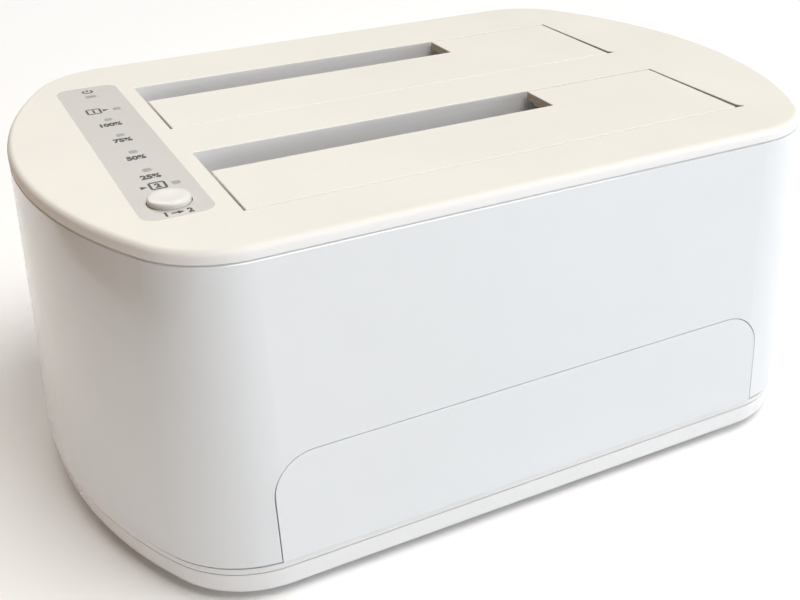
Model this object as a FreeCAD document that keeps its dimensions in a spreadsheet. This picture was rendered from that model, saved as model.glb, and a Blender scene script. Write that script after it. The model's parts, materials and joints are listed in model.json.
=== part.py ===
import FreeCAD, Part
import math
import os
import re

import Sketcher

# Twin-bay drive duplicator: a bow-ended desk housing with two top-loading drive bays, each closed by a
# sprung L-shaped flap that leaves a slot for a small drive, over one board with the sockets.
# Frame: +X along the length to the right, +Y to the back, +Z up, origin under the feet's centre.

SIZES = {
    # housing
    "body_length": 156.0,
    "body_depth": 106.0,
    "corner_radius": 18.0,
    "end_radius": 88.0,
    "side_flare": 3.0,
    "side_wall": 2.4,
    "foot_proud": 1.5,
    "foot_radius": 5.2,
    "foot_x": 50.0,
    "foot_y": 33.0,
    "floor_thick": 2.0,
    "base_band": 4.85,
    "base_groove": 0.35,
    "base_lip": 1.15,
    "base_seam": 0.35,
    "base_inset": 0.6,
    "base_round": 2.0,
    "groove_depth": 0.45,
    "side_height": 57.35,
    "base_wall": 2.4,
    "lug_height": 1.35,
    "lug_thick": 1.2,
    "lug_length": 12.0,
    "end_lug": 8.0,
    "lug_x": 30.0,
    "fit_gap": 0.15,
    "lid_seam": 0.15,
    "lid_thick": 2.3,
    "lid_round": 1.3,
    "lid_lug": 3.0,
    "boss_x": 69.0,
    "boss_y": 26.0,
    "boss_radius": 3.4,
    "boss_height": 12.0,
    "boss_roof": 2.0,
    "post_radius": 4.0,
    "web_thick": 1.6,
    "side_edge": 0.35,
    "screw_head": 2.7,
    "screw_shank": 1.3,
    "screw_clear": 1.6,
    "pilot_radius": 1.4,
    "small_head": 1.9,
    "small_shank": 0.9,
    "small_clear": 1.1,
    "small_pilot": 1.0,
    "base_head_height": 1.7,
    "base_screw_reach": 6.0,
    "board_head_height": 1.6,
    "board_screw_reach": 5.0,
    "small_head_height": 1.2,
    "small_screw_reach": 4.0,
    "lid_boss": 2.2,
    # blank panel let into the front
    "panel_length": 105.0,
    "panel_height": 21.3,
    "panel_round": 8.0,
    "panel_depth": 1.4,
    "panel_gap": 0.25,
    # drive bays
    "bay_left": 47.9,
    "bay_front": 39.85,
    "bay_pitch": 43.75,
    "bay_length": 103.0,
    "bay_depth": 29.6,
    "slot_length": 71.2,
    "slot_depth": 10.5,
    "well_wall": 1.8,
    "well_floor": 1.6,
    "recess_depth": 2.7,
    "recess_height": 8.0,
    "tab_length": 5.0,
    "tab_width": 6.0,
    "tab_thick": 1.8,
    "tab_drop": 4.5,
    "front_tab_x": 20.0,
    "rear_tab_x": 35.0,
    # flap, its hinge and spring
    "flap_thick": 1.8,
    "flap_front_gap": 0.25,
    "flap_left_gap": 0.3,
    "flap_right_gap": 0.5,
    "flap_hinge_gap": 0.9,
    "flap_back_gap": 0.5,
    "rib_depth": 1.0,
    "rib_thick": 1.2,
    "hinge_back": 1.0,
    "hinge_drop": 4.0,
    "pin_radius": 0.75,
    "pin_fit": 0.05,
    "press_gap": 0.02,
    "knuckle_radius": 1.5,
    "arm_width": 8.0,
    "arm_inset": 2.5,
    "stop_x": 84.0,
    "stop_width": 7.0,
    "stop_reach": 0.8,
    "stop_thick": 1.0,
    "stop_gap": 1.0,
    "stop_root": 3.0,
    "window_height": 10.0,
    "spring_wire": 0.45,
    "spring_turns": 3,
    "spring_x": 15.0,
    "spring_leg": 5.0,
    "rib_front": 6.0,
    "rib_edge": 1.0,
    "rib_side": 2.5,
    "arm_root": 2.6,
    "arm_half": 1.3,
    "flap_round": 0.15,
    "relief_width": 0.9,
    "relief_length": 1.6,
    # boards and what stands on them
    "standoff_height": 6.0,
    "standoff_radius": 3.0,
    "board_thick": 1.6,
    "board_length": 118.0,
    "board_front": 40.0,
    "board_back": 48.0,
    "board_hole_x": 54.0,
    "board_hole_front": 34.5,
    "board_hole_back": 42.5,
    "socket_height": 8.6,
    "socket_length": 42.0,
    "socket_depth": 6.0,
    "socket_x": 4.5,
    "socket_back": 4.4,
    "socket_proud": 3.0,
    "contact_pitch": 1.27,
    "contact_width": 0.6,
    "contact_thick": 0.3,
    "contact_sunk": 0.6,
    "contact_start": 0.9,
    "slot_end": 2.4,
    "slot_thick": 1.6,
    "slot_drop": 5.5,
    "slot_key": 1.4,
    "key_reach": 1.4,
    "power_slot": 21.4,
    "data_slot": 11.0,
    "header_height": 5.0,
    "header_width": 4.0,
    "header_length": 10.0,
    "header_shift": 1.0,
    "ribbon_thick": 0.9,
    "ribbon_width": 8.0,
    "bridge_x": 14.0,
    "bridge_y": 2.0,
    "bridge_width": 12.0,
    "bridge_height": 1.2,
    "memory_x": 12.0,
    "memory_y": 3.0,
    "memory_pitch": 12.0,
    "memory_width": 5.2,
    "memory_depth": 6.2,
    "memory_height": 1.6,
    "supply_x": 30.0,
    "supply_pitch": 13.0,
    "inductor_y": 25.0,
    "inductor_width": 7.0,
    "inductor_height": 3.4,
    "regulator_y": 8.0,
    "regulator_width": 6.5,
    "regulator_depth": 6.2,
    "regulator_height": 2.3,
    "can_radius": 3.15,
    "can_height": 8.0,
    "can_edge": 0.65,
    "can_front": 22.0,
    "can_back": 16.0,
    "can_pitch": 9.0,
    # indicator strip
    "plate_x": 57.3,
    "plate_y": 0.85,
    "plate_width": 12.1,
    "plate_length": 75.2,
    "plate_thick": 0.6,
    "plate_round": 2.6,
    "light_pitch": 10.1,
    "light_first": 14.8,
    "light_width": 1.5,
    "side_light_x": 3.0,
    "strip_drop": 8.7,
    "strip_thick": 1.2,
    "strip_width": 10.0,
    "strip_length": 84.0,
    "strip_hole_y": 38.5,
    "side_light_low": 22.85,
    "side_light_high": 21.45,
    "power_light_y": 31.85,
    "power_light_width": 2.6,
    "power_light_length": 1.6,
    "lamp_height": 0.8,
    "lamp_width": 1.4,
    "guide_thick": 1.2,
    "guide_edge": 0.6,
    "print_gap": 0.05,
    "switch_width": 6.0,
    "switch_height": 3.5,
    "plunger_radius": 1.75,
    "button_round": 0.5,
    "button_x": 57.5,
    "button_y": 30.3,
    "button_radius": 3.6,
    "button_proud": 1.0,
    "button_travel": 0.5,
    "flange_reach": 1.0,
    "flange_thick": 1.0,
    "stem_radius": 1.5,
    "plunger_proud": 1.0,
    "plunger_sunk": 1.8,
    # rear sockets
    "ports_depth": 52.2,
    "ports_half": 44.0,
    "ports_bottom": 9.4,
    "ports_top": 35.0,
    "power_x": 24.0,
    "usb_x": 2.0,
    "rocker_x": 26.0,
    "rocker_z": 24.0,
    "port_wall": 2.0,
    "port_round": 2.0,
    "port_gap": 0.4,
    "usb_width": 12.0,
    "usb_height": 12.4,
    "usb_depth": 16.0,
    "usb_reach": 9.5,
    "usb_rim": 1.0,
    "usb_mouth": 8.6,
    "usb_upper_mouth": 6.2,
    "usb_shoulder": 6.0,
    "usb_step": 1.4,
    "usb_upper": 3.0,
    "tongue_low": 2.0,
    "tongue_width": 5.6,
    "tongue_thick": 3.2,
    "upper_tongue_low": 8.2,
    "upper_tongue_width": 4.8,
    "upper_tongue_thick": 1.0,
    "tongue_sunk": 1.0,
    "jack_width": 9.0,
    "jack_height": 11.0,
    "jack_pin": 1.0,
    "jack_depth": 12.5,
    "jack_radius": 3.1,
    "jack_reach": 9.5,
    "collar_radius": 3.9,
    "rocker_width": 12.8,
    "rocker_height": 8.4,
    "rocker_depth": 12.0,
    "rocker_pivot_y": 50.4,
    "rocker_half": 4.6,
    "rocker_wing": 3.6,
    "rocker_tilt": 9.0,
    "rocker_dip": 1.4,
    "rocker_taper": 0.4,
    "rocker_back": 1.0,
    "mouth_half": 5.35,
    "mouth_height": 6.6,
    "mouth_sunk": 2.4,
    "rim_thick": 1.2,
    "rim_reach": 1.0,
    "peg_radius": 0.7,
    "peg_reach": 0.6,
    "terminal_length": 3.5,
    "terminal_x": 3.0,
    "terminal_width": 2.8,
    "terminal_thick": 0.6,
    "lead_radius": 0.6,
}

doc = FreeCAD.newDocument("drive_duplicator")
sheet = doc.addObject("Spreadsheet::Sheet", "Sizes")
for row, (alias, size) in enumerate(SIZES.items(), start=1):
    sheet.set(f"A{row}", alias)
    sheet.set(f"B{row}", str(size))
    sheet.setAlias(f"B{row}", alias)
doc.recompute()

# Heights and lines that several pieces share, written once in terms of the sheet.
BASE_TOP = "(foot_proud + base_band + base_groove + base_lip)"
SIDE_BOTTOM = f"({BASE_TOP} + base_seam)"
SIDE_TOP = f"({SIDE_BOTTOM} + side_height)"
LID_BOTTOM = f"({SIDE_TOP} + lid_seam)"
LID_TOP = f"({LID_BOTTOM} + lid_thick)"
FLOOR_TOP = "(foot_proud + floor_thick)"
BOARD_BOTTOM = f"({FLOOR_TOP} + standoff_height)"
BOARD_TOP = f"({BOARD_BOTTOM} + board_thick)"
WELL_FLOOR_TOP = f"({BOARD_TOP} + socket_height - socket_proud)"
WELL_BOTTOM = f"({WELL_FLOOR_TOP} - well_floor)"
HINGE_Z = f"({LID_TOP} - hinge_drop)"
FLAP_BOTTOM = f"({LID_TOP} - flap_thick)"
TAB_TOP = f"({LID_BOTTOM} - tab_drop)"
TAB_BOTTOM = f"({TAB_TOP} - tab_thick)"
STRIP_TOP = f"({LID_BOTTOM} - strip_drop)"
STRIP_BOTTOM = f"({STRIP_TOP} - strip_thick)"
SLOT_FRONT = "(bay_depth - slot_depth)"
FLAP_BACK = "(bay_depth - flap_back_gap)"
WELL_FRONT = "(-recess_depth - well_wall)"
WELL_BACK = "(bay_depth + well_wall)"
TAB_OUT = "(recess_depth + well_wall + tab_length)"
TAB_BACK = "(bay_depth + well_wall + tab_length)"
ARM_XS = ("arm_inset", "bay_length - arm_inset - arm_width")
SOCKET_Y = "(bay_depth - socket_back)"
SOCKET_TOP = f"({BOARD_TOP} + socket_height)"
POWER_SLOT = "(socket_x + slot_end)"
DATA_SLOT = "(socket_x + socket_length - slot_end - data_slot)"
SWITCH_TOP = f"({STRIP_TOP} + switch_height)"
PLUNGER_TOP = f"({SWITCH_TOP} + button_travel + plunger_proud)"
BAND_TOP = "(foot_proud + base_band)"
LUG_TOP = f"({BASE_TOP} + lug_height)"
BASE_GROW = "(side_flare - base_inset)"
BASE_LUG_GROW = "(side_flare - side_wall - fit_gap)"
LID_LUG_GROW = "(-side_wall - fit_gap)"
BAY_Y = {"front": "(-bay_front)", "rear": "(bay_pitch - bay_front)"}

EPS = 1e-6
pieces = []


def ref(expression):
    """The expression with each size's name pointing at its cell."""
    def named(word):
        return f"Sizes.{word[0]}" if word[0] in SIZES else word[0]

    return re.sub(r"[a-z_][a-z_0-9]*", named, expression)


def num(expression):
    """What an expression of sizes comes to now."""
    return float(sheet.evalExpression(ref(expression)))


def bind(item, **properties):
    """Ties properties of an object to expressions of the sizes."""
    for name, expression in properties.items():
        item.setExpression(name.replace("__", "."), ref(expression))


def new_body(label):
    body = doc.addObject("PartDesign::Body", label)
    body.AllowCompound = True
    pieces.append(body)
    return body


def origin_item(body, role):
    return next(item for item in body.Origin.OriginFeatures if item.Role == role)


def new_sketch(body, plane, offset):
    """Sketch on XY (offset up), XZ (offset to the back) or YZ (offset to the right)."""
    sketch = body.newObject("Sketcher::SketchObject", "Sketch")
    sketch.AttachmentSupport = [(origin_item(body, f"{plane}_Plane"), "")]
    sketch.MapMode = "FlatFace"
    bind(sketch, AttachmentOffset__Base__z=f"-({offset})" if plane == "XZ" else offset)
    return sketch


def dimension(sketch, expression, kind, *place):
    index = sketch.addConstraint(Sketcher.Constraint(kind, *place, num(expression)))
    sketch.setExpression(f"Constraints[{index}]", ref(expression))


def locate(sketch, geometry, point, x, y):
    dimension(sketch, x, "DistanceX", -1, 1, geometry, point)
    dimension(sketch, y, "DistanceY", -1, 1, geometry, point)


def arc(x, y, radius, start, end):
    circle = Part.Circle(FreeCAD.Vector(x, y, 0), FreeCAD.Vector(0, 0, 1), radius)
    return Part.ArcOfCircle(circle, start, end)


def line(x0, y0, x1, y1):
    return Part.LineSegment(FreeCAD.Vector(x0, y0, 0), FreeCAD.Vector(x1, y1, 0))


def polygon(*points):
    """Closed outline through points given as pairs of expressions."""
    def draw(sketch):
        first = sketch.GeometryCount
        spots = [(num(x), num(y)) for x, y in points]
        count = len(spots)
        sketch.addGeometry([line(*spots[i], *spots[(i + 1) % count]) for i in range(count)], False)
        for i, (x, y) in enumerate(points):
            sketch.addConstraint(Sketcher.Constraint("Coincident", first + i, 2, first + (i + 1) % count, 1))
            locate(sketch, first + i, 1, x, y)
    return draw


def rectangle(x0, y0, x1, y1):
    def draw(sketch):
        first = sketch.GeometryCount
        left, low, right, high = num(x0), num(y0), num(x1), num(y1)
        corners = [(left, low), (right, low), (right, high), (left, high)]
        sketch.addGeometry([line(*corners[i], *corners[(i + 1) % 4]) for i in range(4)], False)
        for i in range(4):
            sketch.addConstraint(Sketcher.Constraint("Coincident", first + i, 2, first + (i + 1) % 4, 1))
            sketch.addConstraint(Sketcher.Constraint(("Horizontal", "Vertical")[i % 2], first + i))
        locate(sketch, first, 1, x0, y0)
        locate(sketch, first + 2, 1, x1, y1)
    return draw


def centred(x, y, width, height):
    half_x, half_y = f"({width}) / 2", f"({height}) / 2"
    return rectangle(f"({x}) - {half_x}", f"({y}) - {half_y}", f"({x}) + {half_x}", f"({y}) + {half_y}")


def circle(x, y, radius):
    def draw(sketch):
        place = sketch.GeometryCount
        centre = FreeCAD.Vector(num(x), num(y), 0)
        sketch.addGeometry(Part.Circle(centre, FreeCAD.Vector(0, 0, 1), num(radius)), False)
        dimension(sketch, radius, "Radius", place)
        locate(sketch, place, 3, x, y)
    return draw


def octagon(x, y, radius):
    """Eight-sided outline of the small round bosses, holes and screws."""
    corners = []
    for step in range(8):
        turn = math.radians(45 * step + 22.5)
        corner_x = f"({x}) + ({math.cos(turn):.6f}) * ({radius})"
        corners.append((corner_x, f"({y}) + ({math.sin(turn):.6f}) * ({radius})"))
    return polygon(*corners)


def four(shape, x, y, *sizes):
    """The same outline at plus and minus x and y."""
    return [shape(f"{i} * ({x})", f"{j} * ({y})", *sizes) for i in (-1, 1) for j in (-1, 1)]


def rounded(x0, y0, x1, y1, radius):
    """Rectangle with four rounded corners."""
    def draw(sketch):
        n = sketch.GeometryCount
        left, low, right, high, bend = num(x0), num(y0), num(x1), num(y1), num(radius)
        quarter = math.pi / 2
        sketch.addGeometry(
            [
                line(left + bend, low, right - bend, low),
                arc(right - bend, low + bend, bend, -quarter, 0),
                line(right, low + bend, right, high - bend),
                arc(right - bend, high - bend, bend, 0, quarter),
                line(right - bend, high, left + bend, high),
                arc(left + bend, high - bend, bend, quarter, 2 * quarter),
                line(left, high - bend, left, low + bend),
                arc(left + bend, low + bend, bend, 2 * quarter, 3 * quarter),
            ],
            False,
        )
        sketch.addConstraint([Sketcher.Constraint("Tangent", n + i, 2, n + (i + 1) % 8, 1) for i in range(8)])
        sketch.addConstraint([Sketcher.Constraint("Horizontal", n + i) for i in (0, 4)])
        sketch.addConstraint([Sketcher.Constraint("Vertical", n + i) for i in (2, 6)])
        sketch.addConstraint([Sketcher.Constraint("Equal", n + 1, n + i) for i in (3, 5, 7)])
        dimension(sketch, radius, "Radius", n + 1)
        dimension(sketch, y0, "DistanceY", -1, 1, n, 1)
        dimension(sketch, y1, "DistanceY", -1, 1, n + 4, 1)
        dimension(sketch, x1, "DistanceX", -1, 1, n + 2, 1)
        dimension(sketch, x0, "DistanceX", -1, 1, n + 6, 1)
    return draw


def housing(grow):
    """Plan outline of the housing grown all round: straight sides, corner arcs and bowed ends."""
    def draw(sketch):
        n = sketch.GeometryCount
        half_depth = num(f"body_depth / 2 + {grow}")
        corner = num(f"corner_radius + {grow}")
        bow = num(f"end_radius + {grow}")
        bow_x = num("body_length / 2 - end_radius")
        corner_y = half_depth - corner
        corner_x = bow_x + math.sqrt((bow - corner) ** 2 - corner_y ** 2)
        joint = math.atan2(corner_y, corner_x - bow_x)
        turn = math.pi
        sketch.addGeometry(
            [
                arc(bow_x, 0, bow, -joint, joint),
                arc(corner_x, corner_y, corner, joint, turn / 2),
                line(corner_x, half_depth, -corner_x, half_depth),
                arc(-corner_x, corner_y, corner, turn / 2, turn - joint),
                arc(-bow_x, 0, bow, turn - joint, turn + joint),
                arc(-corner_x, -corner_y, corner, turn + joint, 1.5 * turn),
                line(-corner_x, -half_depth, corner_x, -half_depth),
                arc(corner_x, -corner_y, corner, -turn / 2, -joint),
            ],
            False,
        )
        sketch.addConstraint([Sketcher.Constraint("Tangent", n + i, 2, n + (i + 1) % 8, 1) for i in range(8)])
        sketch.addConstraint([Sketcher.Constraint("Equal", n + 1, n + i) for i in (3, 5, 7)])
        sketch.addConstraint(Sketcher.Constraint("Equal", n, n + 4))
        sketch.addConstraint([Sketcher.Constraint("Horizontal", n + i) for i in (2, 6)])
        sketch.addConstraint([Sketcher.Constraint("PointOnObject", n + i, 3, -1) for i in (0, 4)])
        dimension(sketch, f"end_radius + {grow}", "Radius", n)
        dimension(sketch, f"corner_radius + {grow}", "Radius", n + 1)
        dimension(sketch, "body_length / 2 - end_radius", "DistanceX", -1, 1, n, 3)
        dimension(sketch, "end_radius - body_length / 2", "DistanceX", -1, 1, n + 4, 3)
        dimension(sketch, f"body_depth / 2 + {grow}", "DistanceY", -1, 1, n + 2, 1)
        dimension(sketch, f"-(body_depth / 2 + {grow})", "DistanceY", -1, 1, n + 6, 1)
    return draw


def drawn(body, plane, offset, outlines):
    sketch = new_sketch(body, plane, offset)
    for outline in outlines if isinstance(outlines, list) else [outlines]:
        outline(sketch)
    return sketch


def pad(body, outlines, low, high, plane="XY"):
    """Solid between two levels of the plane's axis."""
    sketch = drawn(body, plane, high if plane == "XZ" else low, outlines)
    feature = body.newObject("PartDesign::Pad", "Pad")
    feature.Profile = sketch
    bind(feature, Length=f"({high}) - ({low})")
    body.Tip = feature
    return feature


def pocket(body, outlines, low, high, plane="XY"):
    """Cut between two levels of the plane's axis; it has to take something away."""
    doc.recompute()
    before = body.Tip.Shape.Volume
    sketch = drawn(body, plane, low if plane == "XZ" else high, outlines)
    feature = body.newObject("PartDesign::Pocket", "Pocket")
    feature.Profile = sketch
    bind(feature, Length=f"({high}) - ({low})")
    body.Tip = feature
    doc.recompute()
    if feature.Shape.Volume > before - EPS:
        raise RuntimeError(f"a cut in {body.Label} takes nothing away")
    return feature


def loft(body, low_outline, low, high_outline, high, kind="Additive"):
    lower = drawn(body, "XY", low, low_outline)
    upper = drawn(body, "XY", high, high_outline)
    feature = body.newObject(f"PartDesign::{kind}Loft", "Loft")
    feature.Profile = lower
    feature.Sections = [upper]
    feature.Ruled = True
    body.Tip = feature
    return feature


def quarter_round(body, grow, wall_end, radius, bands, way):
    """Rounded rim of the housing's outline in ruled bands, from its wall in to a flat face above or below."""
    corners = []
    for step in range(bands + 1):
        turn = math.radians(90 * step / bands)
        height = f"({wall_end} + ({way * math.sin(turn):.6f}) * {radius})"
        corners.append((housing(f"({grow} - {1 - math.cos(turn):.6f} * {radius})"), height))
    if way < 0:
        corners.reverse()
    for lower, upper in zip(corners, corners[1:]):
        loft(body, *lower, *upper)


def lugs(grow):
    """Locating lugs that reach to an outline: two inside the front and the back, one inside each end."""
    shapes = []
    for side in (-1, 1):
        y = f"{side} * (body_depth / 2 + {grow} - lug_thick / 2)"
        shapes += [centred(f"{end} * lug_x", y, "lug_length", "lug_thick") for end in (-1, 1)]
        x = f"{side} * (body_length / 2 + {grow} - lug_thick / 2)"
        shapes.append(centred(x, "0", "lug_thick", "end_lug"))
    return shapes


def dress(body, kind, size, chosen):
    """Fillet or chamfer on the edges of the body that a test picks."""
    doc.recompute()
    base = body.Tip
    names = [f"Edge{i}" for i, edge in enumerate(base.Shape.Edges, start=1) if chosen(edge.BoundBox)]
    feature = body.newObject(f"PartDesign::{kind}", kind)
    feature.Base = (base, names)
    bind(feature, **{"Radius" if kind == "Fillet" else "Size": size})
    body.Tip = feature
    return feature


def level(height, within=0.02):
    """Test for edges that lie flat at a height."""
    z = num(height)
    return lambda box: abs(box.ZMin - z) < within and abs(box.ZMax - z) < within


def row(body, feature, axis, length, count):
    """Repeats a feature along an axis of the body."""
    pattern = body.newObject("PartDesign::LinearPattern", "Row")
    pattern.Originals = [feature]
    pattern.Direction = (origin_item(body, f"{axis}_Axis"), [""])
    bind(pattern, Length=length, Occurrences=count)
    body.Tip = pattern
    return pattern


def place(body, x="0", y="0", z="0"):
    bind(body, Placement__Base__x=x, Placement__Base__y=y, Placement__Base__z=z)


def place_in_bay(body, bay):
    place(body, "-bay_left", BAY_Y[bay])


# ---- housing -------------------------------------------------------------------------------------------


def tab_spots(radius):
    """Outlines at the screw tabs of both drive wells."""
    spots = []
    for bay_y in BAY_Y.values():
        for x in ("front_tab_x", "bay_length - front_tab_x"):
            spots.append(octagon(f"{x} - bay_left", f"{bay_y} - {TAB_OUT} + tab_length / 2", radius))
        for x in ("rear_tab_x", "bay_length - rear_tab_x"):
            spots.append(octagon(f"{x} - bay_left", f"{bay_y} + {TAB_BACK} - tab_length / 2", radius))
    return spots


def strip_spots(radius):
    return [octagon("-plate_x", f"plate_y + {side} * strip_hole_y", radius) for side in (-1, 1)]


def board_spots(radius):
    rows = ("-board_hole_front", "board_hole_back")
    return [octagon(f"{side} * board_hole_x", y, radius) for side in (-1, 1) for y in rows]


def boss_spots(radius):
    return four(octagon, "boss_x", "boss_y", radius)


def light_spots(width):
    """Four progress lights in a row, then the two drive lights beside the row."""
    places = [("-plate_x", f"{step} * light_pitch - light_first") for step in range(4)]
    places += [("side_light_x - plate_x", y) for y in ("-side_light_low", "side_light_high")]
    return [centred(x, y, width, width) for x, y in places]


def power_window(gap):
    return centred("-plate_x", "power_light_y", f"power_light_width + {gap}", f"power_light_length + {gap}")


def plate_outline(gap):
    return rounded(
        f"-plate_x - plate_width / 2 + {gap}",
        f"plate_y - plate_length / 2 + {gap}",
        f"-plate_x + plate_width / 2 - {gap}",
        f"plate_y + plate_length / 2 - {gap}",
        f"plate_round - {gap}",
    )


def make_base_tray():
    body = new_body("base_tray")
    quarter_round(body, BASE_GROW, "(foot_proud + base_round)", "base_round", 2, -1)
    pad(body, housing(BASE_GROW), "foot_proud + base_round", BAND_TOP)
    pad(body, housing(f"({BASE_GROW} - groove_depth)"), BAND_TOP, f"{BAND_TOP} + base_groove")
    pad(body, housing(f"({BASE_GROW} + fit_gap)"), f"{BAND_TOP} + base_groove", BASE_TOP)
    pocket(body, housing(f"({BASE_GROW} - base_wall)"), FLOOR_TOP, BASE_TOP)
    pad(body, lugs(BASE_LUG_GROW), f"{FLOOR_TOP} - floor_thick / 2", LUG_TOP)
    pad(body, boss_spots("post_radius"), f"{FLOOR_TOP} - floor_thick / 2", LUG_TOP)
    pad(body, board_spots("standoff_radius"), f"{FLOOR_TOP} - floor_thick / 2", BOARD_BOTTOM)
    pocket(body, board_spots("pilot_radius"), FLOOR_TOP, BOARD_BOTTOM)
    pocket(body, boss_spots("screw_clear"), "foot_proud", LUG_TOP)
    pocket(body, boss_spots("screw_head + fit_gap"), "foot_proud", FLOOR_TOP)


def front_slope_sketch(body, inset):
    """Outline of the blank panel on the plane of the sloping front, running out below the side shell."""
    sketch = body.newObject("Sketcher::SketchObject", "Slope")
    sketch.AttachmentSupport = [(origin_item(body, "XZ_Plane"), "")]
    sketch.MapMode = "FlatFace"
    tilt = FreeCAD.Rotation(FreeCAD.Vector(-1, 0, 0), num("atan(side_flare / side_height)"))
    sketch.AttachmentOffset = FreeCAD.Placement(FreeCAD.Vector(), tilt)
    bind(
        sketch,
        AttachmentOffset__Base__y=SIDE_BOTTOM,
        AttachmentOffset__Base__z="body_depth / 2 + side_flare",
        AttachmentOffset__Rotation__Angle="atan(side_flare / side_height)",
    )
    half = f"(panel_length / 2 - {inset})"
    rounded(f"-{half}", "-3 * panel_round", half, f"panel_height - {inset}", f"panel_round - {inset}")(sketch)
    return sketch


def make_side_shell():
    body = new_body("side_shell")
    low_grow = "(side_flare * (1 - side_edge / side_height))"
    high_grow = "(side_flare * side_edge / side_height)"
    low, high = f"({SIDE_BOTTOM} + side_edge)", f"({SIDE_TOP} - side_edge)"
    loft(body, housing("(side_flare - side_edge)"), SIDE_BOTTOM, housing(low_grow), low)
    loft(body, housing(low_grow), low, housing(high_grow), high)
    loft(body, housing(high_grow), high, housing("(-side_edge)"), SIDE_TOP)
    inside_low, inside_high = housing("(side_flare - side_wall)"), housing("(-side_wall)")
    loft(body, inside_low, SIDE_BOTTOM, inside_high, SIDE_TOP, "Subtractive")
    # screw bosses, each webbed to the bowed end wall
    boss_top = f"{LUG_TOP} + boss_height"
    pad(body, boss_spots("boss_radius"), LUG_TOP, boss_top)
    wall_radius = "(end_radius + side_flare - side_wall / 2)"
    web_end = f"(body_length / 2 - end_radius + sqrt({wall_radius} ^ 2 - boss_y ^ 2))"
    webs = four(centred, f"(boss_x + {web_end}) / 2", "boss_y", f"{web_end} - boss_x", "web_thick")
    pad(body, webs, f"{LUG_TOP} + fit_gap", boss_top)
    pocket(body, boss_spots("pilot_radius"), LUG_TOP, f"{boss_top} - boss_roof")
    # upright panel for the rear sockets, sunk into the sloping wall
    block_low = f"({LUG_TOP} + fit_gap)"
    block = rectangle("-ports_half - port_wall", block_low, "ports_half + port_wall", "ports_top + port_wall")
    pad(body, block, "ports_depth - side_wall", "body_depth / 2", "XZ")
    sunk = rounded("-ports_half", "ports_bottom", "ports_half", "ports_top", "port_round")
    pocket(body, sunk, "ports_depth", "body_depth / 2 + side_flare", "XZ")
    through = ("ports_depth - side_wall", "ports_depth", "XZ")
    usb_middle = f"{BOARD_TOP} + usb_height / 2"
    pocket(body, centred("usb_x", usb_middle, "usb_width + port_gap", "usb_height + port_gap"), *through)
    jack_middle = f"{BOARD_TOP} + jack_height / 2"
    pocket(body, circle("power_x", jack_middle, "collar_radius + port_gap / 2"), *through)
    switch_hole = ("rocker_width + port_gap", "rocker_height + port_gap")
    pocket(body, centred("-rocker_x", "rocker_z", *switch_hole), *through)
    # shallow bed of the blank panel on the sloping front
    doc.recompute()
    whole = body.Tip.Shape.Volume
    bed = body.newObject("PartDesign::Pocket", "Bed")
    bed.Profile = front_slope_sketch(body, "0")
    bind(bed, Length="panel_depth")
    body.Tip = bed
    doc.recompute()
    if bed.Shape.Volume > whole - EPS:
        raise RuntimeError("the bed of the front panel takes nothing away")


def make_front_panel():
    body = new_body("front_panel")
    slab = body.newObject("PartDesign::Pad", "Pad")
    slab.Profile = front_slope_sketch(body, "panel_gap")
    slab.Reversed = True
    bind(slab, Length="panel_depth - fit_gap")
    body.Tip = slab
    trim = rectangle("-body_length", "-body_depth", "body_length", SIDE_BOTTOM)
    pocket(body, trim, "-body_depth", "0", "XZ")


def make_top_cover():
    body = new_body("top_cover")
    pad(body, housing("0"), LID_BOTTOM, f"{LID_TOP} - lid_round")
    quarter_round(body, "0", f"({LID_TOP} - lid_round)", "lid_round", 3, 1)
    pad(body, lugs(LID_LUG_GROW), f"{LID_BOTTOM} - lid_lug", LID_BOTTOM)
    pad(body, tab_spots("lid_boss"), TAB_TOP, LID_BOTTOM)
    pad(body, strip_spots("lid_boss"), STRIP_TOP, LID_BOTTOM)
    pocket(body, tab_spots("small_pilot"), TAB_TOP, LID_BOTTOM)
    pocket(body, strip_spots("small_pilot"), STRIP_TOP, LID_BOTTOM)
    for bay_y in BAY_Y.values():
        opening = rectangle("-bay_left", bay_y, "bay_length - bay_left", f"{bay_y} + bay_depth")
        pocket(body, opening, LID_BOTTOM, LID_TOP)
        right = "bay_length - bay_left"
        relief = polygon(
            (right, bay_y), (f"{right} + relief_width", bay_y), (right, f"{bay_y} + relief_length")
        )
        pocket(body, relief, LID_BOTTOM, LID_TOP)
        stop_seat = rectangle(
            "stop_x - stop_gap - bay_left",
            f"{bay_y} + bay_depth",
            "stop_x + stop_width + stop_gap - bay_left",
            f"{bay_y} + bay_depth + stop_reach + stop_gap",
        )
        pocket(body, stop_seat, LID_BOTTOM, f"{FLAP_BOTTOM} + fit_gap")
    under_plate = f"{LID_TOP} - plate_thick"
    pocket(body, plate_outline("0"), under_plate, LID_TOP)
    pocket(body, light_spots("light_width + 2 * fit_gap"), LID_BOTTOM, under_plate)
    pocket(body, power_window("2 * fit_gap"), LID_BOTTOM, under_plate)
    pocket(body, circle("-button_x", "-button_y", "button_radius + fit_gap"), LID_BOTTOM, under_plate)


# ---- drive bays ----------------------------------------------------------------------------------------

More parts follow.
